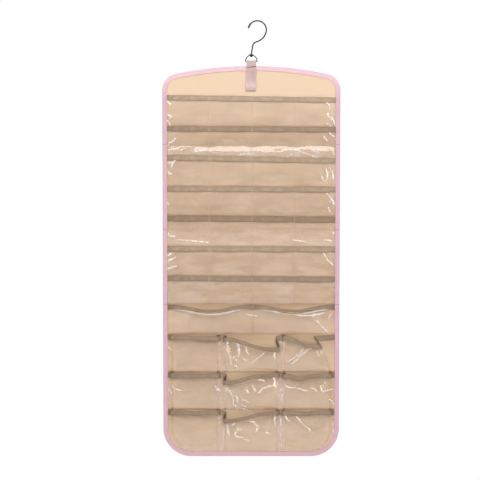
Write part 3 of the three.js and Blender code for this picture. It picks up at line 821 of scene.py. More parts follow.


# Creases of the vinyl that catch the light, each from one end to the other: across from the panel's middle
# and down from its top, and the half width of the ridge, in millimetres, and the slope of its sides. Each
# crest also carries a painted highlight in the film; those of slope 0.01 or 0.02 are nearly flat, painted
# highlight streaks.
creases = [
    (-204, 80, -193, 92, 3.1, 0.26), (-203, 112, -190, 122, 3.1, 0.26), (-203, 126, -192, 139, 3, 0.26),
    (-195, 184, -180, 174, 3.1, 0.28), (-201, 190, -188, 180, 3, 0.24), (-192, 238, -181, 221, 3, 0.18),
    (-203, 248, -193, 258, 3.4, 0.34), (-199, 231, -190, 229, 2.8, 0.2), (-203, 316, -198, 332, 3.3, 0.44),
    (-203, 403, -181, 408, 2.8, 0.34), (-175, 414, -104, 421, 2.7, 0.36), (-203, 454, -191, 447, 3.4, 0.42),
    (-203, 466, -183, 459, 3.4, 0.42), (-203, 485, -182, 478, 3.6, 0.5), (178, 84, 188, 96, 3.1, 0.18),
    (179, 113, 190, 128, 3.1, 0.2), (192, 122, 201, 140, 3.3, 0.18), (182, 134, 194, 148, 3.1, 0.24),
    (184, 156, 196, 168, 3, 0.18), (172, 168, 182, 178, 2.4, 0.22), (180, 242, 183, 270, 3.1, 0.18),
    (165, 260, 180, 280, 2.7, 0.24), (193, 250, 196, 268, 3.1, 0.14), (182, 302, 200, 328, 3.3, 0.16),
    (183, 338, 192, 352, 3.3, 0.22), (100, 415, 131, 420, 2.2, 0.34), (176, 414, 193, 417, 2.8, 0.34),
    (172, 448, 194, 476, 3, 0.2), (157, 608, 188, 642, 3.2, 0.01), (186, 603, 193, 592, 2.8, 0.01),
    (111, 598, 175, 593, 3, 0.01), (-8, 595, 16, 599, 2.6, 0.01), (-31, 664, -28, 694, 3.9, 0.44),
    (-14, 670, -9, 689, 2.4, 0.4), (30, 686, 2, 710, 4.4, 0.02), (-41, 716, -32, 724, 2.4, 0.54),
    (70, 662, 78, 666, 2.7, 0.56), (-202, 673, -193, 680, 2.7, 0.6), (-56, 676, -46, 716, 4.4, 0.02),
    (90, 711, 126, 678, 4.4, 0.02), (103, 711, 143, 674, 4.6, 0.02), (97, 712, 134, 676, 4.2, 0.02),
    (-88, 770, -73, 783, 2.8, 0.34), (-52, 778, -47, 788, 3.2, 0.52), (-36, 790, -31, 804, 3.2, 0.38),
    (-13, 772, -7, 784, 3.3, 0.34), (3, 766, 10, 779, 2.8, 0.3), (18, 750, 33, 753, 2.8, 0.46),
    (18, 785, 28, 772, 2.8, 0.48), (28, 772, 50, 766, 2.8, 0.56), (73, 774, 77, 803, 2.8, 0.78),
    (82, 769, 104, 773, 2.4, 0.52), (112, 772, 134, 779, 2.4, 0.54), (144, 770, 158, 776, 2.4, 0.42),
    (166, 768, 172, 782, 3.3, 0.18), (176, 779, 199, 776, 2.4, 0.6), (-202, 770, -192, 784, 2.8, 0.76),
    (-190, 771, -172, 780, 2.4, 0.56), (-203, 786, -196, 774, 2.4, 0.28), (189, 799, 201, 811, 2.7, 0.28),
    (-17, 801, -6, 808, 2.7, 0.52), (-30, 822, -2, 828, 2.7, 0.98), (-40, 812, -28, 836, 2.7, 0.36),
    (81, 840, 90, 853, 2.7, 0.42), (110, 843, 126, 861, 2.7, 0.36), (132, 864, 144, 876, 2.7, 0.32),
    (-4, 851, 8, 854, 2.4, 0.54), (8, 854, 17, 866, 2.4, 0.28), (17, 866, 13, 877, 2.4, 0.42),
    (-59, 864, -54, 888, 3.2, 0.56), (57, 840, 58, 864, 2.7, 0.56), (71, 843, 73, 866, 2.7, 0.28),
    (-38, 890, -21, 893, 2.7, 0.7), (198, 857, 200, 883, 2.7, 0.24), (-30, 866, -38, 884, 3.2, 0.24),
    (36, 880, 46, 884, 2.4, 0.36), (-70, 868, -68, 915, 4.6, 0.01), (70, 868, 74, 920, 4.6, 0.01),
    (-139, 206, -103, 197, 2.4, 0.01), (102, 197, 160, 219, 2.6, 0.01), (-172, 202, -160, 194, 2.2, 0.01),
    (-196, 199, -175, 195, 2.2, 0.01), (-101, 200, -87, 206, 2.2, 0.01), (-32, 211, -4, 206, 2.2, 0.01),
    (75, 218, 99, 212, 2.2, 0.01), (134, 195, 160, 206, 2.4, 0.01), (181, 214, 197, 218, 2.2, 0.01),
    (-38, 702, -32, 708, 2.2, 0.4), (-57, 668, -52, 682, 2, 0.3), (-45, 700, -39, 694, 2, 0.3),
    (-20, 700, -10, 706, 2, 0.2), (-84, 778, -75, 774, 2.2, 0.4), (-44, 792, -42, 812, 2, 0.2),
    (-26, 794, -19, 803, 2, 0.3), (-24, 812, -12, 819, 2.2, 0.4), (-40, 800, -30, 806, 2, 0.3),
    (-46, 862, -38, 856, 2.2, 0.4), (-34, 874, -24, 870, 2, 0.3), (-16, 896, -4, 899, 2, 0.2),
]


def ridges(row, x, z):
    """How far the row's creases lift the film, in metres, and where their crests are, from 0 to 1, which also
    places their painted highlights.
    """
    lift, crest = np.zeros(np.shape(x)), np.zeros(np.shape(x))
    top = mouth_line(row, 0.0) + 6 * mm
    low = mouth_line(row + 1, 0.0) if row + 1 < row_count else panel_bottom
    for number, (x0, d0, x1, d1, wide, slope) in enumerate(creases):
        if not low < panel_top - (d0 + d1) / 2 * mm < top:
            continue
        along, beside, length = beside_line(x, z, x0, d0, x1, d1)
        curl = (number % 3 - 1) * min(0.45, 10 * mm / length)
        beside += curl * (along - length / 2) ** 2 / length
        past = np.maximum(-along, along - length).clip(0)
        taper = 0.65 + 0.35 * np.sin(np.pi * unit(along / length)) ** 0.7
        facets = unit(1 - np.abs(beside) / (wide * mm * taper)) ** 1.12 * hill(past / (2 * mm))
        lift += slope * wide * mm * facets
        # Nearly flat creases are painted highlight streaks only, fainter the wider they are.
        highlight_share = min(1.0, 3 / wide) ** 2 if slope < 0.05 else 1
        crest = np.maximum(crest, facets * highlight_share)
    return lift, crest


# The panel was packed folded. Below a fold the film faces up in a long band: the row, how far its top and
# its foot are below the panel's top, and how steeply it stands out.
fold_bands = {1: (190 * mm, 203 * mm, 0.28), 4: (388 * mm, 397 * mm, 0.12)}
fold_hollow = 3.5 * mm
hollow_height = 9 * mm


def fold_band(row, x, z):
    if row not in fold_bands:
        return 0.0
    top, foot, steep = fold_bands[row]
    down = panel_top - z
    ragged = foot + (wander(x, x * 0, 15.0, 5) + 0.5 * wander(x, x * 0, 45.0, 9)) * (foot - top) * 0.3
    uneven = 0.84 + 0.13 * hill(x / (80 * mm)) + 0.2 * wander(x * 0.5, z, 40.0, 8)
    out = np.clip(down - top, 0, ragged - top) * steep * uneven
    hollow = fold_hollow * steep * hill((top - down).clip(0) / hollow_height)
    return (out - hollow) * (1 - unit((down - ragged) / (ragged - top)))


def lie_of_film(row, x, z, above, bulge):
    """Wrinkles of a strip away from its seams: slack waves, puckers beside the binding, and its creases."""
    to_tape = pocket_start - np.abs(x)
    free = unit(bulge * 1.6) * unit(above * 6) * unit((1 - above) * 9)
    slack = wander(x * 0.35, z, 46.0, row + 1) * slack_height
    slant = np.abs(x) * 0.9 + z
    sharp = unit(1 - np.abs(wander(x * 0.4, slant, 105.0, row + 31))) ** 5
    height = low_pucker if row == narrow_rows else pucker_height
    pucker = height * sharp * unit(1 - to_tape / pucker_reach) ** 1.5
    fine = wander(x, z, 80.0, row + 61) * fine_height
    if row > narrow_rows:
        slack = slack + wander(x, z * 0.7, 34.0, row + 91) * loose_slack
        fine = fine * 2.5
    raised, crest = ridges(row, x, z)
    ends = unit(to_tape / (3 * mm)) * unit(above * 8)
    lift = (slack + pucker + fine) * free * (1 - unit(crest * 4))
    return lift + (raised * unit((1 - above) * 14) + fold_band(row, x, z)) * ends


def rim_of_wide_pocket(down, bulge):
    """The two wide pockets gape: below the rim the film stands forward, with a bright ridge along the sag."""
    ridge = rim_ridge * unit(1 - np.abs(down - ridge_drop) / ridge_half)
    return ridge * unit(bulge * 3) - rim_shelf * hill(down / shelf_height) * bulge


def strip_level(row, at, share=0.0, below=None):
    """A strip at a share of its height, or at a distance below its rim, as x, y and z."""
    last = row + 1 == row_count
    hem = end_tuck + seam_inset if last else seam_allowance
    wide = at.beside + at.turn * (at.reach + at.roll * flat_fold)
    top = mouth_line(row, wide) - at.sag - ribbon_thickness - mouth_gap
    bottom = panel_bottom + binding_width - end_tuck if last else mouth_line(row + 1, wide) + row_gap
    height = top - bottom
    share = share if below is None else 1 - below / height
    z = bottom + share * height
    above = (z - bottom - hem).clip(0) / (height - hem)
    open_share = np.sin(np.pi / 2 * above) ** 0.8
    fold = flat_fold + (open_fold + fold_share * at.depth - flat_fold) * open_share
    fold = np.where((at.layers > 0) | (at.roll != 0), fold, 0)
    slid = at.reach + (at.low - at.reach) * (1 - above) ** 0.7
    uneven = pleat_waver * at.pleated * wander(at.beside, z, 34.0, row + 151) * unit(above * 4)
    x = drawn_in(at.beside + at.turn * (slid + at.roll * fold) + uneven, z)
    reach = at.pressed + (at.depth - at.pressed) * open_share
    folds = at.layers * fold
    lift = folds + (reach - folds) * at.bulge + lie_of_film(row, x, z, above, at.bulge)
    if row == narrow_rows:
        lift = lift + rim_of_wide_pocket(top - z, at.bulge)
    base = hem_depth + (seam_depth - hem_depth) * unit(share / (1 - ribbon_width / height))
    return np.stack([x + panel_x, -fabric_face - base - lift.clip(0), z], axis=-1)


def clear_film():
    """Clear vinyl: almost all light passes; it is glossy, hazed in places and along its seams, browner at its
    foot, partly as painted shade, and its haze carries painted highlights on creases, pleats and folds.
    """
    finish, place = start_finish("clear_film")
    ripple = finish.speckle(place, 60.0, 3.0, 0.5)
    patches = finish.speckle(place, 26.0, 2.0, 0.5)
    milk_and_glint_share, brown_and_shade_share, wear_and_shading = (finish.attribute(name) for name in ("milk_and_glint", "foot", "wear_and_shading"))
    height = finish.node("Bump", {"Height": ripple, "Strength": 0.4, "Distance": 0.5 * mm})
    edge_on = finish.node("LayerWeight", {"Blend": 0.5}, out="Facing")
    gloss = (0.065 + 0.3 * edge_on**5) * (1 - 0.85 * wear_and_shading)
    tint = finish.tint(brown_and_shade_share, (0.984, 0.979, 0.98, 1), (0.88, 0.82, 0.76, 1))
    clear = finish.node("BsdfTransparent", {"Color": tint})
    milk_and_glint = finish.node("BsdfDiffuse", {"Color": (0.98, 0.9, 0.84, 1)})
    bright = {"Color": (1.0, 0.97, 0.95, 1), "Roughness": 0.07 + 0.4 * wear_and_shading, "Normal": height}
    shine = finish.node("BsdfGlossy", bright)
    body = finish.node("MixShader", {0: milk_and_glint_share * (0.35 + 1.3 * patches), 1: clear, 2: milk_and_glint})
    return finish.surface(finish.node("MixShader", {0: gloss, 1: body, 2: shine}))


# How each row's vinyl and ribbon look: its milkiness, how browned
# its foot is, partly painted shade, and its ribbon's painted light and shade.
row_haze_and_shade = [
    (0.04, 0.35, 1.2), (0.02, 0.0, 0.9), (0.04, 0.4, 1.1), (0.03, 1.0, 1.06), (0.035, 0.4, 0.79),
    (0.03, 0.5, 1.07), (0.11, 1.0, 0.86), (0.03, 1.0, 0.7), (0.02, 1.0, 0.85), (0.03, 0.7, 0.82),
    (0.04, 0.0, 0.83),
]
crease_glint = 0.8
seam_white = 0.05
seam_mark = 2 * mm
brown_height = 5 * mm
hazy_row = 6
clear_patch = (-28 * mm, 527 * mm)
clear_patch_size = (60 * mm, 13 * mm)
rim_glint_drop = 9.3
rim_shade_drop = 5.5


def film_haze_and_painted_light(row, at, grid):
    """How hazy each place of a film is, with painted highlights added in, how browned at its foot, partly
    painted shade, and how dull.
    """
    milkiness, brownness, _ = row_haze_and_shade[row]
    across, height = grid[:, :, 0] - panel_x, grid[:, :, 2]
    down = panel_top - height
    to_tape = pocket_start - np.abs(across)
    to_seam = np.abs(across[:, :, None] - across[:, None, at.pinch > 0]).min(axis=2)
    haze = unit(0.6 + 1.4 * wander(across * 0.5, height, 22.0, row + 131))
    if row == hazy_row:
        places = [(across, down), clear_patch, clear_patch_size]
        away = np.hypot(*((place - middle) / size for place, middle, size in zip(*places)))
        haze = haze * np.clip(3 * (away + 0.45 * wander(across, height, 60.0, 15)) - 1.9, 0.1, 1)
    pleat_glint_specks = unit(1.9 * wander(across * 1.6, height, 105.0, row + 171) - 0.45)
    inner = unit((to_tape - 20 * mm) / (5 * mm))
    milk_and_glint = milkiness * haze + seam_white * hill(to_seam / seam_mark)
    # Pleat columns get a faint painted reflection and small painted glints.
    milk_and_glint = milk_and_glint + at.pleated * inner * (0.035 + 0.1 * pleat_glint_specks)
    # Painted highlight on the band below a fold, where the film faces up.
    if row in fold_bands:
        top, foot, steep = fold_bands[row]
        band_highlight = 0.3 + 0.7 * wander(across * 0.5, height, 75.0, row + 191)
        milk_and_glint = milk_and_glint + band_highlight.clip(0.05, 1) * steep * unit((down - top) / (6 * mm))
    # Painted highlights along the crests of the creases, broken here and there.
    crest = unit((ridges(row, across, height)[1] - 0.15) / 0.4)
    broken = 0.75 + 0.8 * wander(across, height, 150.0, row + 211)
    milk_and_glint = milk_and_glint + crease_glint * crest * broken.clip(0.25, 1)
    # The foot of each film is browned: partly its doubled hem, partly painted shade above the next ribbon.
    brown_and_shade = brownness * unit(1 - (height - height[:1]) / brown_height) ** 1.5
    wear_and_shading = at.pleated * (1.18 - 0.1 * inner)
    if row == narrow_rows:
        below_rim = (height[-1:] - height) / mm
        near_tape = unit((60 * mm - to_tape) / (45 * mm))
        uneven = unit(0.75 + 0.6 * wander(across, 0 * across, 16.0, 4))
        # Painted highlight: a glint line along the ridge below row 8's rim, stronger near the binding.
        line = hill((below_rim - rim_glint_drop) / 1.6) * uneven
        milk_and_glint = milk_and_glint + (0.5 + 0.4 * near_tape) * line * unit(at.bulge * 12)
        # Painted shadow of row 8's leaning ribbon on the film below its rim.
        brown_and_shade = np.maximum(brown_and_shade, 1.3 * hill((below_rim - rim_shade_drop) / 2.6))
        wear_and_shading = wear_and_shading + 1.1 * near_tape
    if row > narrow_rows:
        wear_and_shading = np.maximum(wear_and_shading, 1.12 * unit((22 * mm - to_tape) / (6 * mm)))
        wear_and_shading = np.maximum(wear_and_shading, 0.6 * unit(2 - to_seam / (8 * mm)))
    return {"milk_and_glint": milk_and_glint[:, ::-1], "foot": brown_and_shade[:, ::-1], "wear_and_shading": wear_and_shading[:, ::-1]}


vinyl = clear_film()
rows = [strip_stations(row) for row in range(row_count)]
for row, places in enumerate(rows):
    levels = 58 if row < narrow_rows else 70
    grid = np.stack([strip_level(row, places, share) for share in np.linspace(0, 1, levels)])
    film = mesh_from_grid(f"film_row_{row + 1}", grid[:, ::-1], values=film_haze_and_painted_light(row, places, grid))
    give_thickness(film, film_thickness, smooth=9)
    dress(film, vinyl, "panel")
    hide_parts(f"pocket_row_{row + 1}")
    film_width = np.hypot(*np.diff(grid[levels // 2, :, :2], axis=0).T).sum()

# Ribbon trims: half-inch taupe ribbon folded over the top edge of each film and sewn through near its lower
# edge. It follows every pleat and sag of the film.
ribbon_hug = 0.06 * mm
ribbon_reach = film_thickness / 2 + ribbon_hug + ribbon_thickness / 2
ribbon_low = ribbon_width - ribbon_thickness - mouth_gap
ribbon_depths = [ribbon_low, 0.7 * ribbon_low, 0.35 * ribbon_low, 0.6 * mm, 0.0]
ribbon_half = [depth + mouth_gap for depth in ribbon_depths] + [0.3 * mm]
ribbon_across = np.array([-place for place in ribbon_half] + [0.0] + ribbon_half[::-1])[:, None]
crown_steps = [(0.8, 0.75), (0.0, 1.0), (-0.8, 0.75)]


def taupe_weave():
    """Flat taupe ribbon: fine cross ribs, darker towards both edges, with painted shade along its lower edge.
    """
    finish, place = start_finish("taupe_ribbon", cloth=True)
    ribs, picks = finish.stripes(place, "X", 0.7 * mm), finish.stripes(place, "Y", 0.9 * mm)
    cloud = finish.speckle(place, 150.0, 3.0, 0.65)
    away = abs(finish.node("SeparateXYZ", {"Vector": place}, out="Y")) / ribbon_width
    edges = finish.ramp(abs(away - 0.5), 0.25, 0.5)
    # Painted shade along the ribbon's lower edge.
    hem = finish.ramp(away, 0.82, 0.98)
    blotches = finish.ramp(finish.speckle(place, 70.0, 4.0, 0.7), 0.38, 0.66)
    flat = finish.tint(edges * 0.4, shade(184, 162, 138), shade(136, 114, 94))
    base = finish.tint(hem * 0.5, flat, shade(112, 90, 70))
    wear_and_shading = finish.tint(0.45 * blotches + 0.15 * cloud + 0.2 * ribs, base, shade(142, 119, 94))
    colour = finish.toned(wear_and_shading, 1.15, 1.25)
    return finish.cover(colour, 0.62 + 0.2 * cloud, ribs + 0.6 * picks, 0.5, 0.16 * mm, sheen=(0.2, 0.4))


def plan_normals(line):
    """Sideways directions of a line seen from above, towards the front."""
    way = np.gradient(line[:, :2], axis=0)
    way /= np.maximum(np.hypot(*way.T), 1e-9)[:, None]
    return np.stack([way[:, 1], -way[:, 0], np.zeros(len(way))], axis=-1)


def length_along(line):
    """How far each point of a line is along it."""
    return np.concatenate([[0.0], np.cumsum(np.linalg.norm(np.diff(line, axis=0), axis=1))])


taupe = taupe_weave()
trim_lines = []
for row, places in enumerate(rows):
    leaning = 0.8 if row == narrow_rows else 0.3 * (row > narrow_rows) * places.depth / pleated_depth
    squeeze = 1 - leaning * places.bulge
    sheets = [strip_level(row, places, below=depth * squeeze) for depth in ribbon_depths]
    front = [line + plan_normals(line) * ribbon_reach for line in sheets]
    back = [line - plan_normals(line) * ribbon_reach for line in reversed(sheets)]
    out = plan_normals(sheets[-1]) * ribbon_reach
    lift = np.array([0.0, 0.0, 0.8 * mouth_gap])
    fold = [sheets[-1] + side * out + rise * lift for side, rise in crown_steps]
    grid = np.stack([*front, *fold, *back])
    length = length_along(sheets[0])
    # Painted shade and light on each ribbon: each row's own, from the table above; painted shade in the
    # pleats' folds and near the binding; and on row 8, which leans back, its front's lower part painted
    # lighter.
    folded = hill((places.layers - 2) / 1.4) * (places.pleated > 0)
    from_edge = pocket_start + 2 * mm - np.abs(sheets[0][:, 0] - panel_x)
    shade_tone = row_haze_and_shade[row][2] * (1 - 0.72 * folded) * (1 - 0.22 * np.exp(-from_edge.clip(0) / (7 * mm)))
    shade_tone = np.repeat(shade_tone[None, :], len(grid), axis=0)
    if row == narrow_rows:
        shade_tone[:3] *= 1 + 0.5 * places.bulge
        shade_tone[3:] *= 1 + 0.12 * places.bulge
    trim = mesh_from_grid(f"ribbon_row_{row + 1}", grid, length, ribbon_across, values={"shade_tone": shade_tone})
    give_thickness(trim, ribbon_thickness, smooth=32)
    dress(trim, taupe, "panel")
    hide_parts(f"trim_row_{row + 1}")
    f"film_row_{row + 1}"
    trim_lines.append(sheets[:2])

# Edge binding: half-inch pink polyester tape folded over the panel's edge
# all round, with its ends hidden under the tab, and sewn through. It rides
# over the ends of the ribbons and is creased where the panel was folded.
binding_thickness = 0.55 * mm
tape_front = 3.4 * mm
tape_back = 1.7 * mm
tape_short = 1.3 * mm
tape_shares = [1.0, 0.86, 0.66, 0.45, 0.25, 0.1]
tape_turns = [60, 30, 0, -30, -60]
tape_nose = 0.28 * mm
tape_round = 1 * mm
ribbon_rise = 0.75 * mm
notch_depth = 0.35 * mm
notch_half = 1.1 * mm
edge_pitch = 2.4 * mm


def straight(start, end):
    """Points along a straight run of the panel's edge, with outward directions."""
    run = np.subtract(end, start)
    length = np.hypot(*run)
    count = max(int(length / edge_pitch), 2)
    places = start + run * np.linspace(0, 1, count, endpoint=False)[:, None]
    return places, np.tile([run[1], -run[0]], (count, 1)) / length


def rounded(centre, radius, start, end):
    """The same along an arc of the edge, from one angle to another."""
    count = max(int(radius * abs(end - start) / edge_pitch), 2)
    angle = np.linspace(start, end, count, endpoint=False)
    ways = np.stack([np.cos(angle), np.sin(angle)], axis=-1)
    return centre + radius * ways, ways


def panel_edge():
    """The whole edge, anticlockwise from the middle of the bottom, with outward directions."""
    foot, foot_z = panel_half - bottom_corner, panel_bottom + bottom_corner
    corner_z, turn = arch_z + arch_rise, math.atan2(arch_rise, arch_x)
    parts = [
        straight((0, panel_bottom), (foot, panel_bottom)),
        rounded((foot, foot_z), bottom_corner, -math.pi / 2, 0),
        straight((panel_half, foot_z), (panel_half, corner_z)),
        rounded((arch_x, corner_z), top_corner, 0, turn),
        rounded((0, arch_z), arch_radius, turn, math.pi - turn),
        rounded((-arch_x, corner_z), top_corner, math.pi - turn, math.pi),
        straight((-panel_half, corner_z), (-panel_half, foot_z)),
        rounded((-foot, foot_z), bottom_corner, math.pi, 1.5 * math.pi),
        straight((-foot, panel_bottom), (0, panel_bottom)),
    ]
    return [np.concatenate(part) for part in zip(*parts)]


def over_ribbons(z):
    """How much the tape is lifted by the end of a ribbon at a height, from 0 to 1."""
    middles = np.array([mouth_line(row, 0.0) for row in range(row_count)]) - ribbon_width / 2
    away = np.abs(z - middles[:, None]) / (ribbon_width / 2 + 2.5 * mm)
    return unit(1.35 - away).max(axis=0)


def fold_notch(z):
    """How deep the tape is creased at a height, from 0 to 1."""
    return sum(hill((z - mark) / notch_half) for mark in fold_marks)


def tape_profile(wave, lift, notch):
    """Sections of the folded tape, as distance in from the edge and place in depth, front edge first."""
    front = tape_front - ribbon_rise * (1 - lift) - notch_depth * notch
    width = binding_width - tape_short + wave
    points = [(width * share, -front) for share in tape_shares]
    points[0] = (width, -0.98 * front)
    for turn in np.radians(tape_turns):
        depth = (tape_back - front) / 2 - (tape_back + front) / 2 * math.sin(turn)
        points.append((tape_nose + tape_round * (1 - math.cos(turn)), depth))
    return points + [(width * share, tape_back) for share in reversed(tape_shares)]


def pink_tape():
    """Pink tape: cross-ribbed polyester, a little shiny, painted lighter up its sides and brightest along the
    arched top as painted light, and painted shade in its creases.
    """
    finish, along = start_finish("pink_tape", cloth=True)
    place = finish.node("TexCoord", out="Object")
    ribs, picks = finish.stripes(along, "X", 0.65 * mm), finish.stripes(along, "Y", 0.8 * mm)
    cloud = finish.speckle(along, 40.0, 3.0, 0.6)
    height_up = finish.node("SeparateXYZ", {"Vector": place}, out="Z")
    # Painted light: the sides lighter towards the top, and the arched top edge brightest.
    shaded_low_pink = finish.tint(cloud, shade(218, 177, 188), shade(226, 188, 199))
    lit_high_pink = finish.tint(cloud, shade(219, 180, 192), shade(228, 192, 203))
    sides = finish.tint(finish.ramp(height_up, -0.85, -0.25), shaded_low_pink, lit_high_pink)
    colour = finish.tint(finish.ramp(height_up, -0.185, -0.14), sides, shade(245, 210, 220))
    # Painted shade in the creases where the panel was folded.
    for mark in fold_marks:
        near = finish.maths("MAXIMUM", 1 - abs(height_up - mark) / (1.4 * mm), 0.0)
        colour = finish.tint(near * 0.8, colour, shade(168, 112, 132))
    colour = finish.tint(ribs * 0.22, colour, shade(204, 158, 171))
    marks = ribs + 0.5 * picks + 0.4 * cloud
    return finish.cover(colour, 0.6 + 0.2 * cloud, marks, 0.5, 0.16 * mm, sheen=(0.3, 0.35))


edge_places, edge_ways = panel_edge()
edge_z = edge_places[:, 1]
upright = np.abs(edge_ways[:, 0]) > 0.9
edge_wave = wander(edge_places[:, 0], edge_z, 60.0, 11) * 0.22 * mm
profile = tape_profile(edge_wave, over_ribbons(edge_z) * upright, fold_notch(edge_z) * upright)
tape_grid = np.zeros((len(profile), len(edge_z), 3))
for section, (inwards, depth) in zip(tape_grid, profile):
    section[:, ::2] = edge_places - edge_ways * np.reshape(inwards, (-1, 1))
    section[:, 0] += panel_x
    section[:, 1] = depth
edge_length = length_along(np.concatenate([edge_places, edge_places[:1]]))
tape_across = length_along(tape_grid[:, 0])
binding = mesh_from_grid("binding_tape", tape_grid, edge_length, tape_across[:, None], wrap=True)
give_thickness(binding, binding_thickness)
dress(binding, pink_tape(), "panel")
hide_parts("edge_binding")

# Hanging tab: one-inch dusty pink webbing, passed over the bar of the D-ring, with a leg down each side of
# the panel's top edge. A bar tack below the ring and a sewn box at its lower end hold it.
tab_low, tab_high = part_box("hanging_tab")
tab_half = (tab_high.x - tab_low.x) / 2
tab_thickness = 1.15 * mm
tab_step = 0.7 * mm
tab_lean = 1.6 * mm
tab_cup = 0.16 * mm
tack_z = panel_top - 2.6 * mm
tack_lean = 1.3 * mm
tack_groove = 0.5 * mm
loop_radius = 2.0

# The webbing's course from the front leg's end over the bar to the back leg's: a height to start from, then
# depths and heights from it, in millimetres.
around_bar = [(loop_radius * math.cos(a), loop_radius * math.sin(a)) for a in np.radians(range(180, -1, -30))]
tab_course = [
    (tab_low.z, [(-2.1, 0), (-2.5, 3), (-4.4, 11), (-3.4, 18), (-2.3, 27)]),
    (panel_top, [(-2.2, -22), (-3.4, -15), (-4.5, -11), (-4.35, -5), (-3.9, -2.6), (-3.6, 1.5)]),
    (bar_z, [(-2.6, -4), *around_bar, (2.3, -4)]),
    (panel_top, [(2.75, 1.5), (2.8, -2.6), (2.8, -12), (2.1, -17)]),
    (tab_low.z, [(2, 20), (2, 0)]),
]


def dusty_webbing():
    """Webbing: lengthwise cords with a herringbone of crossing yarns, painted darker in its creases and
    lighter on its bulge, as painted shade and light.
    """
    finish, place = start_finish("dusty_webbing", cloth=True)
    cords, picks = finish.stripes(place, "X", 1.45 * mm), finish.stripes(place, "Y", 0.85 * mm)
    slant = finish.stripes(place, "DIAGONAL", 1.1 * mm)
    cloud = finish.speckle(place, 90.0, 3.0, 0.6)
    base = finish.tint(cloud, shade(214, 185, 180), shade(232, 208, 202))
    colour = finish.toned(finish.tint(0.3 * picks + 0.25 * slant, base, shade(190, 160, 157)), 1.2, 1.2)
    return finish.cover(colour, 0.75 + 0.15 * cloud, cords + 0.7 * slant, 0.6, 0.3 * mm, sheen=(0.3, 0.4))


def tack_line(across):
    """The height of the bar tack, from -1 at the tab's left edge to 1 at its right edge."""
    return tack_z + tack_lean * across


def thread_tab():
    knots = np.array([(y * mm, datum + up * mm) for datum, course in tab_course for y, up in course])
    length = length_along(knots)
    at = np.arange(0, length[-1], tab_step)
    y, z = (curve_through(length, way, at)[:, None] for way in knots.T)
    across = np.linspace(-1, 1, 15)
    waist = 1 - 0.035 * hill((z - tack_z) / (5 * mm))
    swing = tab_lean * (tab_high.z - z) / (tab_high.z - tab_low.z)
    x = shank_x - swing + tab_half * across * waist
    side = np.where(np.arange(len(at)) < len(at) / 2, -1, 1)[:, None]
    height = np.repeat(z, len(across), axis=1)
    groove = hill((height - tack_line(across)) / (1.5 * mm))
    depth = y + side * (tab_cup * (1 - across**2) - tack_groove * groove)
    up = (height - tab_low.z) / mm
    # Painted light and shade on the front leg: lighter on its bulging lower part and its left edge; painted
    # shade at its lower end, in the bar tack's crease and in a patch right of its middle.
    wear_and_shading = 0.2 * hill((up - 15) / 8) - 0.32 * hill(up / 3) - 0.5 * groove
    wear_and_shading = wear_and_shading - 0.13 * hill((across - 0.45) / 0.25) * hill((up - 38) / 12) + 0.07 * (across < -0.75)
    grid = np.stack([x, depth, height], axis=-1)
    shade_tone = {"shade_tone": 0.95 + wear_and_shading * (side < 0)}
    tab = mesh_from_grid("webbing_tab", grid, tab_half * across, at[:, None], values=shade_tone)
    give_thickness(tab, tab_thickness)
    dress(tab, dusty_webbing(), "panel")
    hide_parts("hanging_tab")


thread_tab()

# Stitches: polyester thread, one lockstitch after another, each a short
# plump loop that dives in at both ends. Pink ones hold the binding, taupe
# ones the ribbons, and cream ones the pockets and the foot of each film.
thread_radius = 0.17 * mm
stitch_pitch = 3.0 * mm
stitch_length = 2.4 * mm
tape_seam_gap = 1.8 * mm
foot_seam_rise = 1.1 * mm
tack_gap = 0.5 * mm
tack_depth = 4.2 * mm
box_depth = 2.78 * mm
box_rises = [2.2 * mm, 3.4 * mm]
tab_margin = 1.2 * mm
stitch_start = (0.0, 0.45, -0.9)
stitch_steps = [(0.14, 0.9, 0.25), (0.5, 1.0, 0.75), (0.86, 0.9, 0.25), (1.0, 0.45, -0.9)]


def thread_finish(name, dark, light):
    """Twisted polyester thread."""
    finish, place = start_finish(name)
    ply = finish.speckle(place, 2600.0, 2.0, 0.5)
    colour = finish.tint(ply, dark, light)
    return finish.cover(colour, 0.5 + 0.2 * ply, ply, 0.5, 0.1 * mm, sheen=(0.25, 0.5))


def sew_one():
    """One stitch along X, a unit long, as points and faces: a rod of six sides that dives at both ends.
    Y and Z are in thread radii."""
    share, wide, depth = stitch_start
    start_rod("stitch", 6, wide, (0, 0, depth), (0, math.pi / 2, 0))
    for next_share, next_wide, next_depth in stitch_steps:
        draw_out((next_share - share, 0, next_depth - depth), (1, next_wide / wide, next_wide / wide))
        share, wide, depth = next_share, next_wide, next_depth
    stitch = leave_editing()
    points = np.array([list(v.co) for v in stitch.data.vertices])
    faces = [list(face.vertices) for face in stitch.data.polygons]
    bpy.data.objects.remove(stitch)
    return points, faces


def read_along(along, values, at):
    """Values given at distances along a line, read at other distances."""
    return np.stack([np.interp(at, along, column) for column in values.T], axis=-1)


def stitches(name, lines, material, pitch=stitch_pitch, length=stitch_length):
    """One piece holding the stitches of several lines. A line is its points and the way out of the cloth."""
    points, faces = [], []
    for line, out in lines:
        along = length_along(line)
        for start in np.arange(pitch / 2, along[-1] - length, pitch):
            middle = read_along(along, line, start + stitch_points[:, 0] * length)
            way = read_along(along, line, start + length) - read_along(along, line, start)
            way /= max(np.linalg.norm(way), 1e-9)
            side = np.cross(read_along(along, out, start), way)
            side /= max(np.linalg.norm(side), 1e-9)
            beside, above = (stitch_points[:, k : k + 1] * thread_radius for k in (1, 2))
            base = len(points) * len(stitch_points)
            points.append(middle + side * beside + np.cross(way, side) * above)
            faces += [[base + corner for corner in face] for face in stitch_faces]
    piece = new_piece(name, np.concatenate(points), faces)
    select_only(piece)
    bpy.ops.object.shade_smooth()
    dress(piece, material, "panel")


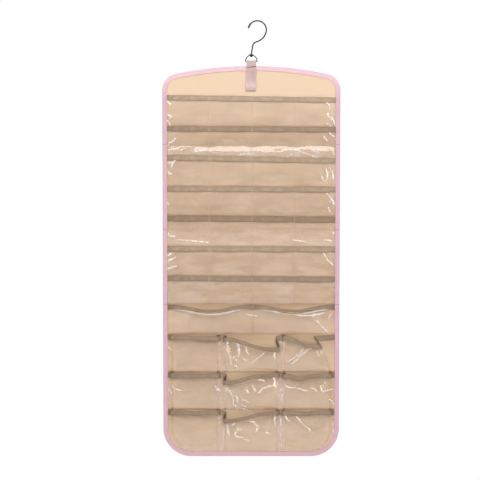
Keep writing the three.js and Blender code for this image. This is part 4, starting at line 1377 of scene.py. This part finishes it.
def sewn(line, side=-1.0):
    """A line for stitches() on the front of the panel, or on its back where side is 1."""
    return line, np.tile([0.0, side, 0.0], (len(line), 1))


def tape_seam(side):
    """The seam near the inner edge of the binding."""
    seam = tape_grid[0 if side < 0 else -1].copy()
    seam[:, ::2] += edge_ways * tape_seam_gap
    seam[:, 1] += side * binding_thickness / 2
    return sewn(np.concatenate([seam, seam[:1]]), side)


def trim_seams():
    """The seam through both sides of each ribbon, a little above its lower edge."""
    lines = []
    for low_line, next_line in trim_lines:
        seam = low_line + (next_line - low_line) * 0.55
        for side in (1, -1):
            out = plan_normals(seam) * side
            line = seam + out * (ribbon_reach + ribbon_thickness / 2)
            shown = np.abs(line[:, 0] - panel_x) < pocket_start - 1 * mm
            lines.append((line[shown], out[shown]))
    return lines


def pocket_seams():
    """Upright seams, over film and ribbon, and the seam along the foot of each film."""
    lines = []
    shares = np.linspace(0, 1, 30)
    shift = np.array([tack_gap, 0.0, 0.0])
    for row, places in enumerate(rows):
        seams = places[places.pinch > 0][1:-1]
        levels = np.stack([strip_level(row, seams, share) for share in shares], axis=1)
        for line in levels:
            height = line[-1, 2] - line[0, 2]
            under = (shares > 1 - ribbon_width / height) * (ribbon_thickness + ribbon_hug)
            line[:, 1] -= film_thickness / 2 + under
            tack = line[under > 0]
            lines += [sewn(line), sewn(tack - shift), sewn(tack + shift)]
        if row + 1 < row_count:
            foot = strip_level(row, places) + [0.0, -film_thickness / 2, foot_seam_rise]
            shown = (np.abs(foot[:, 0] - panel_x) < pocket_start) & (places.layers + places.roll**2 < 0.5)
            lines.append(sewn(foot[shown]))
    return lines


def tab_seams():
    """The bar tack below the ring and the box at the tab's lower end."""
    half = tab_half - tab_margin
    left, right = shank_x - half, shank_x + half
    courses = [(-tack_depth, tack_line(-1) + rise, tack_line(1) + rise) for rise in (-tack_gap, 0, tack_gap)]
    courses += [(-box_depth, tab_low.z + rise, tab_low.z + rise) for rise in box_rises]
    return [sewn(np.array([[left, y, start], [right, y, end]])) for y, start, end in courses]


stitch_points, stitch_faces = sew_one()
pink_thread = thread_finish("pink_thread", shade(226, 176, 192), shade(248, 214, 222))
taupe_thread = thread_finish("taupe_thread", shade(150, 128, 108), shade(188, 166, 142))
cream_thread = thread_finish("cream_thread", shade(214, 186, 152), shade(240, 218, 188))
tab_thread = thread_finish("tab_thread", shade(96, 70, 66), shade(140, 108, 102))
stitches("binding_stitches", [tape_seam(-1.0), tape_seam(1.0)], pink_thread)
stitches("ribbon_stitches", trim_seams(), taupe_thread)
stitches("pocket_stitches", pocket_seams(), cream_thread)
stitches("tab_stitches", tab_seams(), tab_thread, pitch=1.7 * mm, length=1.6 * mm)
